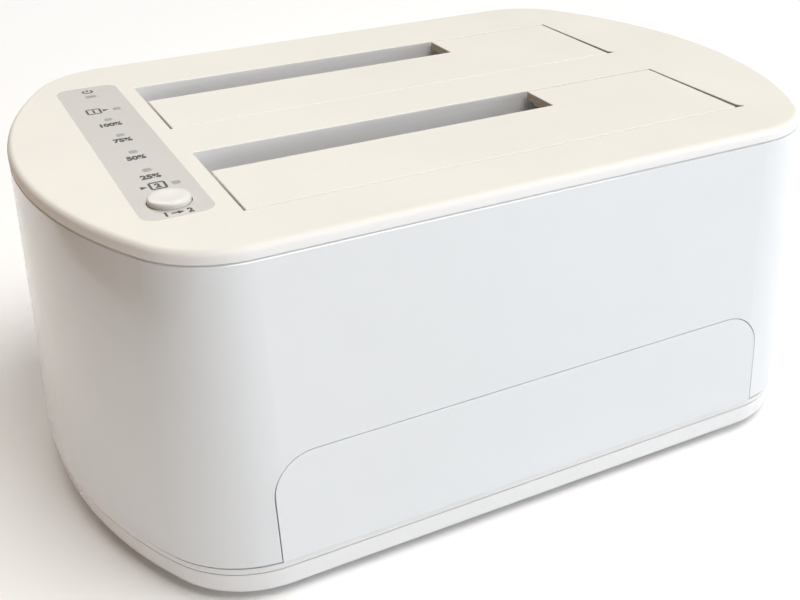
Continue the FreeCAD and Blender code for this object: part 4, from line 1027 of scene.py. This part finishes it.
def arrow_part(x, y, size, z, rise):
    """A printed arrowhead that points right."""
    points = [(x - size / 2, y + size * 0.55), (x - size / 2, y - size * 0.55), (x + size / 2, y)]
    return stacked([(points, z), (points, z + rise)])


def holed_plate(outer, inner, low, high):
    """A flat plate between a level below and one above, with one hole."""
    work = bmesh.new()
    loops = []
    for outline in (outer, inner):
        ring = ring_verts(work, outline, high)
        loops += [work.edges.new((first, second)) for first, second in zip(ring, ring[1:] + ring[:1])]
    top = bmesh.ops.triangle_fill(work, use_beauty=True, use_dissolve=False, edges=loops)
    faces = [item for item in top["geom"] if isinstance(item, bmesh.types.BMFace)]
    lower = bmesh.ops.extrude_face_region(work, geom=faces)
    verts = [item for item in lower["geom"] if isinstance(item, bmesh.types.BMVert)]
    bmesh.ops.translate(work, verts=verts, vec=(0.0, 0.0, low - high))
    bmesh.ops.recalc_face_normals(work, faces=work.faces)
    return work


FILM_LAP, FILM_RISE, FILM_SINK = 0.22 * MM, 0.00004, 0.00001
FILM_CORNER = 2.6 * MM
BUTTON_HOLE = 3.78 * MM
WINDOW_TRIM = 0.0002
SEATING = 0.00001
WINDOW_RISE = 0.00002

# The strip's print: its line width, and the heights of its words as shares of the print height.
PRINT_LINE = 0.42 * MM
PERCENT_SHARE, BAY_SHARE, COPY_SHARE = 0.74, 0.7, 0.66

# Places on the strip in millimetres. Along Y: each percentage, the power sign and the copying sign. For each
# bay: its numeral, its place along Y, and the places of its frame and its arrow across the strip.
PERCENTAGES = {"100%": 12.3, "75%": 2.45, "50%": -7.9, "25%": -18.1}
POWER_SIGN_Y = 35.4
COPY_SIGN_Y = -35.35
BAY_SIGNS = (("1", 21.7, -1.55, 0.85), ("2", -22.7, -0.15, -2.5))


def make_film(low, high):
    """The silver film in two layers: the one in its recess, and the one that laps over the recess's edge."""
    top, base = high.z + FILM_RISE, high.z - FILM_SINK
    x, y, _ = centre_of(*box_of("clone_button"))
    layers = []
    for lap, bottom, level in ((0.0, low.z, base), (FILM_LAP, base, top)):
        outline = rounded_outline(low.x - lap, low.y - lap, high.x + lap, high.y + lap, FILM_CORNER, 10)
        layers.append(holed_plate(outline, ring_points(x, y, BUTTON_HOLE, 72), bottom, level))
    new_piece("strip_film", joined(layers), "plate_silver", HOUSING, ("indicator_plate",))
    return top


def make_windows(film_top, width):
    """A lamp window over each peg of the light guide."""
    half = width / 2
    windows = []
    for low, high in light_windows():
        middle = (low + high) / 2
        reach = max(half, (high.x - low.x) / 2 - WINDOW_TRIM)
        outline = rounded_outline(middle.x - reach, middle.y - half, middle.x + reach, middle.y + half,
                                  half * 0.45, 4)
        windows.append(stacked([(outline, film_top - SEATING), (outline, film_top + WINDOW_RISE)]))
    new_piece("lamp_windows", joined(windows), "lamp_window")


def make_print(mid, z, tall, rise):
    """Percentages, framed bay numerals with arrows, the power sign and the copying sign, in dark ink."""
    parts = []
    for words, spot in PERCENTAGES.items():
        parts.append(text_part(words, tall * PERCENT_SHARE, (mid - 0.2 * MM, spot * MM), z, rise))
    y, ring = POWER_SIGN_Y * MM, 0.95 * MM
    arc = [(mid + ring * math.sin(math.radians(turn)), y + ring * math.cos(math.radians(turn)))
           for turn in range(38, 325, 13)]
    parts.append(band_part(arc, PRINT_LINE, z, rise))
    parts.append(band_part([(mid, y + 0.1 * MM), (mid, y + 1.25 * MM)], PRINT_LINE, z, rise))
    half_wide, half_tall = 1.5 * MM, 1.7 * MM
    for number, spot, frame_x, arrow_x in BAY_SIGNS:
        x, y = mid + frame_x * MM, spot * MM
        parts.append(outline_part(x - half_wide, y - half_tall, x + half_wide, y + half_tall, 0.6 * MM,
                                  PRINT_LINE, z, rise))
        parts.append(text_part(number, tall * BAY_SHARE, (x, y), z, rise))
        parts.append(arrow_part(mid + arrow_x * MM, y, 1.2 * MM, z, rise))
    y = COPY_SIGN_Y * MM
    for number, spot in (("1", -2.1), ("2", 1.9)):
        parts.append(text_part(number, tall * COPY_SHARE, (mid + spot * MM, y), z, rise))
    parts.append(arrow_part(mid + 0.4 * MM, y, 1.1 * MM, z, rise))
    parts.append(band_part([(mid - 1.2 * MM, y), (mid + 0.1 * MM, y)], PRINT_LINE, z, rise))
    new_piece("strip_print", joined(parts), "strip_print")


def make_strip():
    """The lamp strip: a silver film with the button's hole, lamp windows, and numerals and signs in print."""
    low, high = box_of("indicator_plate")
    marks = sizes("duplicator_markings")
    film_top = make_film(low, high)
    make_windows(film_top, marks.lamp_width)
    make_print((low.x + high.x) / 2, film_top - SEATING, marks.print_height, marks.print_rise)


def light_windows():
    """Where the light guide's pegs reach the strip: the corners of each peg's top."""
    work = cad_copy("light_guide")
    top = max(vert.co.z for vert in work.verts)
    pegs = []
    for face in work.faces:
        if face.normal.z > 0.9 and face.calc_center_median().z > top - 0.0001:
            low, high = corners_of([vert.co for vert in face.verts])
            known = next((peg for peg in pegs if (peg[0] + peg[1] - low - high).length < 0.002), None)
            if known:
                known[:] = corners_of([*known, low, high])
            else:
                pegs.append([low, high])
    work.free()
    return pegs


def lathe(profile, segments, centre=(0.0, 0.0, 0.0)):
    """A closed solid turned about Z from (radius, height) points, the first and last on the axis."""
    work = bmesh.new()
    x, y, z = centre
    rings = []
    for radius, height in profile:
        outline = [(x, y)] if radius < 1e-9 else ring_points(x, y, radius, segments)
        rings.append(ring_verts(work, outline, z + height))
    for low, high in zip(rings, rings[1:]):
        for step in range(segments):
            after = (step + 1) % segments
            corners = []
            for vert in (low[step % len(low)], low[after % len(low)], high[after % len(high)],
                         high[step % len(high)]):
                if vert not in corners:
                    corners.append(vert)
            if len(corners) > 2:
                work.faces.new(corners)
    bmesh.ops.recalc_face_normals(work, faces=work.faces)
    return work


def revolved_ring(profile, segments, centre):
    """A closed ring about Z through (radius, height) points that run round its section."""
    work = bmesh.new()
    x, y, z = centre
    rings = [ring_verts(work, ring_points(x, y, radius, segments), z + height) for radius, height in profile]
    bridged(work, rings + rings[:1])
    bmesh.ops.recalc_face_normals(work, faces=work.faces)
    return work


def make_button():
    """The copy button: a dished cap, and the narrow shadow ring round it."""
    low, high = box_of("clone_button")
    x, y, _ = centre_of(low, high)
    flange = (high.x - low.x) / 2
    cap = 3.62 * MM
    top = high.z - low.z
    soft = 0.45 * MM
    stem, flange_top, flange_low = 1.45 * MM, top - 3.4 * MM, top - 4.4 * MM
    profile = [(0.0, 0.0), (stem, 0.0), (stem, flange_low), (flange, flange_low), (flange, flange_top),
               (cap, flange_top), (cap, top - soft)]
    for step in range(1, 6):
        turn = math.radians(90.0 * step / 5)
        profile.append((cap - soft * (1 - math.cos(turn)), top - soft + soft * math.sin(turn)))
    for share, dip in ((0.7, 0.02), (0.45, 0.045), (0.2, 0.055)):
        profile.append(((cap - soft) * share, top - dip * MM))
    profile.append((0.0, top - 0.06 * MM))
    mesh = joined([lathe(profile, 64, (x, y, low.z))])
    smooth_mesh(mesh, 40.0)
    new_piece("copy_button", mesh, "button_white", "clone_button", ("clone_button",))
    strip_top = box_of("indicator_plate")[1].z
    inner, outer = 3.73 * MM, 3.79 * MM
    sleeve = [(inner, -0.7 * MM), (outer, -0.7 * MM), (outer, 0.02 * MM), (inner, -0.2 * MM)]
    new_piece("button_ring", joined([revolved_ring(sleeve, 72, (x, y, strip_top))]), "gap_shadow")


STEPS_PER_TURN = 28


def coil_points(centre, radius, pitch, turns):
    """Points of a helix along +X from the centre, from its top and down in front."""
    points = []
    for step in range(int(turns * STEPS_PER_TURN) + 1):
        turn = 2 * math.pi * step / STEPS_PER_TURN
        points.append((centre.x + pitch * step / STEPS_PER_TURN, centre.y - radius * math.sin(turn),
                       centre.z + radius * math.cos(turn)))
    return points


def make_springs():
    """Each flap's torsion spring: the coil and its wall leg on the housing, the pressing leg on the flap."""
    metal_sizes = sizes("duplicator_metal")
    wire = metal_sizes.spring_wire
    for bay in BAYS:
        low, high = box_of(bay + "_flap_spring")
        _, pin_y, pin_z = centre_of(*box_of(bay + "_hinge_pin"))
        axis = Vector((low.x + wire / 2, pin_y, pin_z))
        radius = (high.z - axis.z) - wire / 2
        turns = metal_sizes.spring_turns + 0.25
        pitch = (high.x - low.x - wire) / turns
        coil = coil_points(axis, radius, pitch, turns)
        wall_leg = [(coil[-1][0], coil[-1][1], low.z)]
        mesh = tube(coil + wall_leg, wire / 2, "spring_steel", 10)
        new_piece(bay + "_spring_coil", mesh, "spring_steel", HOUSING, (bay + "_flap_spring",))
        arm = [coil[0], (coil[0][0], high.y - wire / 2, coil[0][2])]
        mesh = tube(arm, wire / 2, "spring_steel", 10)
        new_piece(bay + "_spring_arm", mesh, "spring_steel", bay + "_flap")


def oval_ring(outer, inner, low, high, stretch):
    """A flat ring, stretched along Y."""
    profile = [(outer, low), (outer, high), (inner, high), (inner, low)]
    work = revolved_ring(profile, 40, (0.0, 0.0, 0.0))
    for vert in work.verts:
        vert.co.y *= stretch
    return work


def make_rocker_marks():
    """White signs on the power rocker's two wings: a bar for on and a ring for off."""
    work = cad_copy("power_rocker")
    wings = {}
    for face in work.faces:
        if face.normal.y > 0.7 and abs(face.normal.z) < 0.05:
            key = tuple(round(value, 2) for value in face.normal)
            wings.setdefault(key, []).append(
                (face.calc_area(), face.calc_center_median(), face.normal.copy()))
    work.free()
    largest = sorted(wings.values(), key=lambda wing: -sum(area for area, _, _ in wing))[:2]
    up = Vector((0.0, 0.0, 1.0))
    rocker_middle = centre_of(*box_of("power_rocker"))[0]
    rise, line, half_tall = 0.06 * MM, 0.34 * MM, 1.1 * MM
    parts = []
    for wing in largest:
        middle = sum((spot * area for area, spot, _ in wing), Vector()) / sum(area for area, _, _ in wing)
        normal = wing[0][2]
        turn = Matrix((up.cross(normal), up, normal)).transposed().to_4x4()
        if middle.x > rocker_middle:
            bar = rounded_outline(-line / 2, -half_tall, line / 2, half_tall, line * 0.3, 3)
            sign = stacked([(bar, -rise), (bar, rise)])
        else:
            sign = oval_ring(1.0 * MM, 1.0 * MM - line, -rise, rise, 1.15)
        bmesh.ops.transform(sign, matrix=Matrix.Translation(middle) @ turn, verts=sign.verts)
        parts.append(sign)
    new_piece("rocker_signs", joined(parts), "mark_white", "power_rocker")


def cross_recess(size, width):
    """The outline of a cross slot, anticlockwise."""
    near, far = width / 2, size / 2
    return [(far, -near), (far, near), (near, near), (near, far), (-near, far), (-near, near),
            (-far, near), (-far, -near), (-near, -near), (-near, -far), (near, -far), (near, -near)]


def screw_pattern(head, head_height, shank, reach, upward):
    """A pan-head screw with a cross slot: its seat at the origin, and its shank ridged by the thread."""
    sides = 24
    work = bmesh.new()
    levels = [(head, 0.0), (head, head_height * 0.5), (head * 0.93, head_height * 0.82),
              (head * 0.78, head_height)]
    rings = [ring_verts(work, ring_points(0.0, 0.0, radius, sides), z) for radius, z in levels]
    recess = cross_recess(head * 1.05, head * 0.28)
    slot_top = ring_verts(work, recess, head_height)
    slot_floor = ring_verts(work, recess, head_height * 0.4)
    ridges = max(2, int(reach / (shank * 0.7)))
    shape = [(shank * share, -reach * (step + along) / ridges)
             for step in range(ridges) for along, share in ((0.0, 0.82), (0.5, 1.0))]
    for radius, z in shape + [(shank * 0.3, -reach)]:
        rings.insert(0, ring_verts(work, ring_points(0.0, 0.0, radius, sides), z))
    bridged(work, rings)
    bridged(work, [slot_floor, slot_top])
    work.faces.new(rings[0])
    work.faces.new(slot_floor)
    rim = [work.edges.get((first, second)) for ring in (rings[-1], slot_top)
           for first, second in zip(ring, ring[1:] + ring[:1])]
    bmesh.ops.triangle_fill(work, use_beauty=True, use_dissolve=False, edges=rim)
    if not upward:
        bmesh.ops.rotate(work, verts=work.verts, matrix=Matrix.Rotation(math.pi, 3, "X"))
    bmesh.ops.recalc_face_normals(work, faces=work.faces)
    return work


# Head heights of the screws, in millimetres.
SCREW_HEADS = {"base_screws": 1.7, "board_screws": 1.6, "well_screws": 1.2, "strip_screws": 1.2}
SHANK_SHARE = 0.5


def make_screws():
    """Every screw with a round head and a cross slot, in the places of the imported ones."""
    for node, tall in SCREW_HEADS.items():
        found = islands(node)
        low, high = found[0]
        head = (high.x - low.x) / 2
        upward = node == "board_screws"
        height = tall * MM
        reach = (high.z - low.z) - height
        seat = high.z - height if upward else low.z + height
        pattern = screw_pattern(head, height, head * SHANK_SHARE, reach, upward)
        spots = [(*centre_of(*pair)[:2], seat) for pair in found]
        mesh = repeated(pattern, spots, "screw_steel", turn=math.pi / 2, seed=5)
        new_piece(node + "_turned", mesh, "screw_steel", HOUSING, (node,))


def seats(found):
    """The middle of each solid's underside."""
    return [(*centre_of(low, high)[:2], low.z) for low, high in found]


def make_feet():
    """Moulded rubber feet with a rounded rim and a shallow ring in the face."""
    found = islands("rubber_feet")
    low, high = found[0]
    radius, tall = (high.x - low.x) / 2, high.z - low.z
    soft = 0.45 * MM
    profile = [(0.0, 0.18 * MM), (radius * 0.35, 0.18 * MM), (radius * 0.42, 0.0), (radius - soft, 0.0)]
    profile += [(radius - soft + soft * math.sin(turn), soft - soft * math.cos(turn))
                for turn in (math.radians(30 * step) for step in range(1, 4))]
    profile += [(radius, tall), (0.0, tall)]
    mesh = repeated(lathe(profile, 40), seats(found), "foot_rubber", angle=50.0)
    new_piece("rubber_pads", mesh, "foot_rubber", HOUSING, ("rubber_feet",))


def make_capacitors():
    """Capacitor cans with their crimp and vented top."""
    found = islands("capacitors")
    low, high = found[0]
    radius, tall = (high.x - low.x) / 2, high.z - low.z
    shape = [(0.0, 0.0), (1.0, 0.0), (1.0, 0.14), (0.9, 0.2), (1.0, 0.27), (1.0, 0.93), (0.95, 0.985),
             (0.86, 1.0), (0.8, 0.985), (0.0, 0.985)]
    profile = [(radius * across, tall * up) for across, up in shape]
    mesh = repeated(lathe(profile, 36), seats(found), "can_metal", turn=math.pi, angle=40.0)
    new_piece("capacitor_cans", mesh, "can_metal", HOUSING, ("capacitors",))


def make_ribbon():
    """The flat cable between the boards, as eight moulded wires side by side."""
    low, high = box_of("ribbon_cable")
    wires, overlap = 8, 1.06
    pitch = (high.y - low.y) / wires
    radius, tall = pitch * overlap / 2, high.z - low.z
    half_thick = (high.x - low.x) / 2
    wire = lathe([(0.0, 0.0), (radius, 0.0), (radius, tall), (0.0, tall)], 12)
    bmesh.ops.scale(wire, verts=wire.verts, vec=(half_thick / radius, 1.0, 1.0))
    spots = [((low.x + high.x) / 2, low.y + pitch * (step + 0.5), low.z) for step in range(wires)]
    edge_trim = pitch * (overlap - 1.0) / 2
    spots[0] = (spots[0][0], spots[0][1] + edge_trim, low.z)
    spots[-1] = (spots[-1][0], spots[-1][1] - edge_trim, low.z)
    mesh = repeated(wire, spots, "ribbon_grey", angle=50.0)
    new_piece("ribbon_wires", mesh, "ribbon_grey", HOUSING, ("ribbon_cable",))


LEAD_SLACK = 1.1 * MM


def make_switch_wires():
    """The power switch's two leads, each with a little slack."""
    leads = []
    steps = 24
    for low, high in islands("switch_leads"):
        x, y, _ = centre_of(low, high)
        points = [(x, y - LEAD_SLACK * math.sin(math.pi * step / steps) ** 2,
                   low.z + (high.z - low.z) * step / steps) for step in range(steps + 1)]
        lead = bmesh.new()
        lead.from_mesh(tube(points, (high.x - low.x) / 2, "lead_black", 14))
        leads.append(lead)
    mesh = joined(leads)
    mesh.shade_smooth()
    new_piece("switch_wires", mesh, "lead_black", HOUSING, ("switch_leads",))


def sprung_contact(wide, deep, tall):
    """One contact: a thin upright strip that bows forward half-way up."""
    steps, bow, half_thick = 8, deep * 0.45, deep * 0.28
    heights = [step / steps for step in range(steps + 1)]
    middle = [(-bow * math.sin(math.pi * height) ** 2, tall * height) for height in heights]
    outline = [(y - half_thick, z) for y, z in middle] + [(y + half_thick, z) for y, z in reversed(middle)]
    work = bmesh.new()
    sides = [[work.verts.new((x, y, z)) for y, z in outline] for x in (-wide / 2, wide / 2)]
    bridged(work, sides)
    last = len(outline) - 1
    for side in sides:
        for step in range(steps):
            work.faces.new((side[step], side[step + 1], side[last - 1 - step], side[last - step]))
    bmesh.ops.recalc_face_normals(work, faces=work.faces)
    return work


def make_drive_contacts():
    """Sprung gold contacts in the drive sockets, bowed towards the drive."""
    for bay in BAYS:
        node = bay + "_socket_contacts"
        found = islands(node)
        low, high = found[0]
        wide, deep, tall = high - low
        spots = [(x, y + deep * 0.2, z) for x, y, z in seats(found)]
        mesh = repeated(sprung_contact(wide, deep, tall), spots, "contact_gold", angle=50.0)
        new_piece(bay + "_sprung_contacts", mesh, "contact_gold", HOUSING, (node,))


def make_data_contacts():
    """Gold strips on the upper face of the data socket's tongue."""
    low, high = max(islands("usb_contacts"), key=lambda pair: pair[1].z)
    long, half_wide, pitch = high.y - low.y, 0.25 * MM, 1.1 * MM
    outline = rounded_outline(-half_wide, 0.0, half_wide, long * 0.8, 0.1 * MM, 2)
    strip = stacked([(outline, -0.05 * MM), (outline, 0.08 * MM)])
    middle = centre_of(low, high)[0]
    spots = [(middle + side * pitch, high.y - long * 0.86, high.z) for side in (-1, 0, 1)]
    new_piece("data_socket_strips", repeated(strip, spots, "contact_gold"), "contact_gold")


# ---- operators, panel and registration -----------------------------------------------------------------

class DUPLICATOR_OT_stage(bpy.types.Operator):
    """Floor, soft studio light and camera"""
    bl_idname = "duplicator.stage"
    bl_label = "Stage"

    def execute(self, context):
        make_stage()
        return {"FINISHED"}


class DUPLICATOR_OT_finishes(bpy.types.Operator):
    """A procedural finish for every material slot"""
    bl_idname = "duplicator.finishes"
    bl_label = "Finishes"

    def execute(self, context):
        make_materials()
        return {"FINISHED"}


class DUPLICATOR_OT_mouldings(bpy.types.Operator):
    """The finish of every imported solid, and softened edges on the mouldings"""
    bl_idname = "duplicator.mouldings"
    bl_label = "Mouldings"

    def execute(self, context):
        make_mouldings()
        return {"FINISHED"}


class DUPLICATOR_OT_lamp_strip(bpy.types.Operator):
    """The silver strip with its lamp windows and print"""
    bl_idname = "duplicator.lamp_strip"
    bl_label = "Lamp strip"

    def execute(self, context):
        make_strip()
        return {"FINISHED"}


class DUPLICATOR_OT_copy_button(bpy.types.Operator):
    """The dished round button"""
    bl_idname = "duplicator.copy_button"
    bl_label = "Copy button"

    def execute(self, context):
        make_button()
        return {"FINISHED"}


class DUPLICATOR_OT_flap_springs(bpy.types.Operator):
    """The two torsion springs that close the flaps"""
    bl_idname = "duplicator.flap_springs"
    bl_label = "Flap springs"

    def execute(self, context):
        make_springs()
        return {"FINISHED"}


class DUPLICATOR_OT_rocker_signs(bpy.types.Operator):
    """On and off signs on the power rocker"""
    bl_idname = "duplicator.rocker_signs"
    bl_label = "Rocker signs"

    def execute(self, context):
        make_rocker_marks()
        return {"FINISHED"}


class DUPLICATOR_OT_screws(bpy.types.Operator):
    """Cross-slot screws of the base, the boards and the bays"""
    bl_idname = "duplicator.screws"
    bl_label = "Screws"

    def execute(self, context):
        make_screws()
        return {"FINISHED"}


class DUPLICATOR_OT_feet(bpy.types.Operator):
    """The four rubber feet"""
    bl_idname = "duplicator.feet"
    bl_label = "Feet"

    def execute(self, context):
        make_feet()
        return {"FINISHED"}


class DUPLICATOR_OT_capacitors(bpy.types.Operator):
    """The board's capacitor cans"""
    bl_idname = "duplicator.capacitors"
    bl_label = "Capacitors"

    def execute(self, context):
        make_capacitors()
        return {"FINISHED"}


class DUPLICATOR_OT_ribbon(bpy.types.Operator):
    """The flat cable between the two boards"""
    bl_idname = "duplicator.ribbon"
    bl_label = "Ribbon"

    def execute(self, context):
        make_ribbon()
        return {"FINISHED"}


class DUPLICATOR_OT_switch_wires(bpy.types.Operator):
    """The power switch's two leads"""
    bl_idname = "duplicator.switch_wires"
    bl_label = "Switch wires"

    def execute(self, context):
        make_switch_wires()
        return {"FINISHED"}


class DUPLICATOR_OT_drive_contacts(bpy.types.Operator):
    """The sprung contacts of both drive sockets"""
    bl_idname = "duplicator.drive_contacts"
    bl_label = "Drive contacts"

    def execute(self, context):
        make_drive_contacts()
        return {"FINISHED"}


class DUPLICATOR_OT_data_contacts(bpy.types.Operator):
    """The gold strips in the data socket"""
    bl_idname = "duplicator.data_contacts"
    bl_label = "Data contacts"

    def execute(self, context):
        make_data_contacts()
        return {"FINISHED"}


OPERATORS = [
    DUPLICATOR_OT_stage, DUPLICATOR_OT_finishes, DUPLICATOR_OT_mouldings, DUPLICATOR_OT_lamp_strip,
    DUPLICATOR_OT_copy_button, DUPLICATOR_OT_flap_springs, DUPLICATOR_OT_rocker_signs, DUPLICATOR_OT_screws,
    DUPLICATOR_OT_feet, DUPLICATOR_OT_capacitors, DUPLICATOR_OT_ribbon, DUPLICATOR_OT_switch_wires,
    DUPLICATOR_OT_drive_contacts, DUPLICATOR_OT_data_contacts,
]


GROUPS = {
    "duplicator_mouldings": MouldingSizes,
    "duplicator_markings": MarkingSizes,
    "duplicator_metal": MetalSizes,
    "duplicator_colours": FinishColours,
}


class DUPLICATOR_PT_panel(bpy.types.Panel):
    """The duplicator's pieces"""
    bl_idname = "DUPLICATOR_PT_panel"
    bl_label = "Drive duplicator"
    bl_space_type = "VIEW_3D"
    bl_region_type = "UI"
    bl_category = "Duplicator"

    def draw(self, context):
        for made in OPERATORS:
            self.layout.operator(made.bl_idname)
        for name in GROUPS:
            group = getattr(context.scene, name)
            for key in group.__annotations__:
                self.layout.prop(group, key)


def register():
    """Adds the groups of sizes and colours, the operators and the panel."""
    for name, group in GROUPS.items():
        bpy.utils.register_class(group)
        setattr(bpy.types.Scene, name, PointerProperty(type=group))
    for made in OPERATORS + [DUPLICATOR_PT_panel]:
        bpy.utils.register_class(made)


def unregister():
    """Takes away the panel, the operators and the groups."""
    for made in [DUPLICATOR_PT_panel] + OPERATORS:
        bpy.utils.unregister_class(made)
    for name, group in GROUPS.items():
        delattr(bpy.types.Scene, name)
        bpy.utils.unregister_class(group)


def main():
    register()
    for made in OPERATORS:
        prefix, name = made.bl_idname.split(".")
        getattr(getattr(bpy.ops, prefix), name)()


if __name__ == "__main__":
    main()
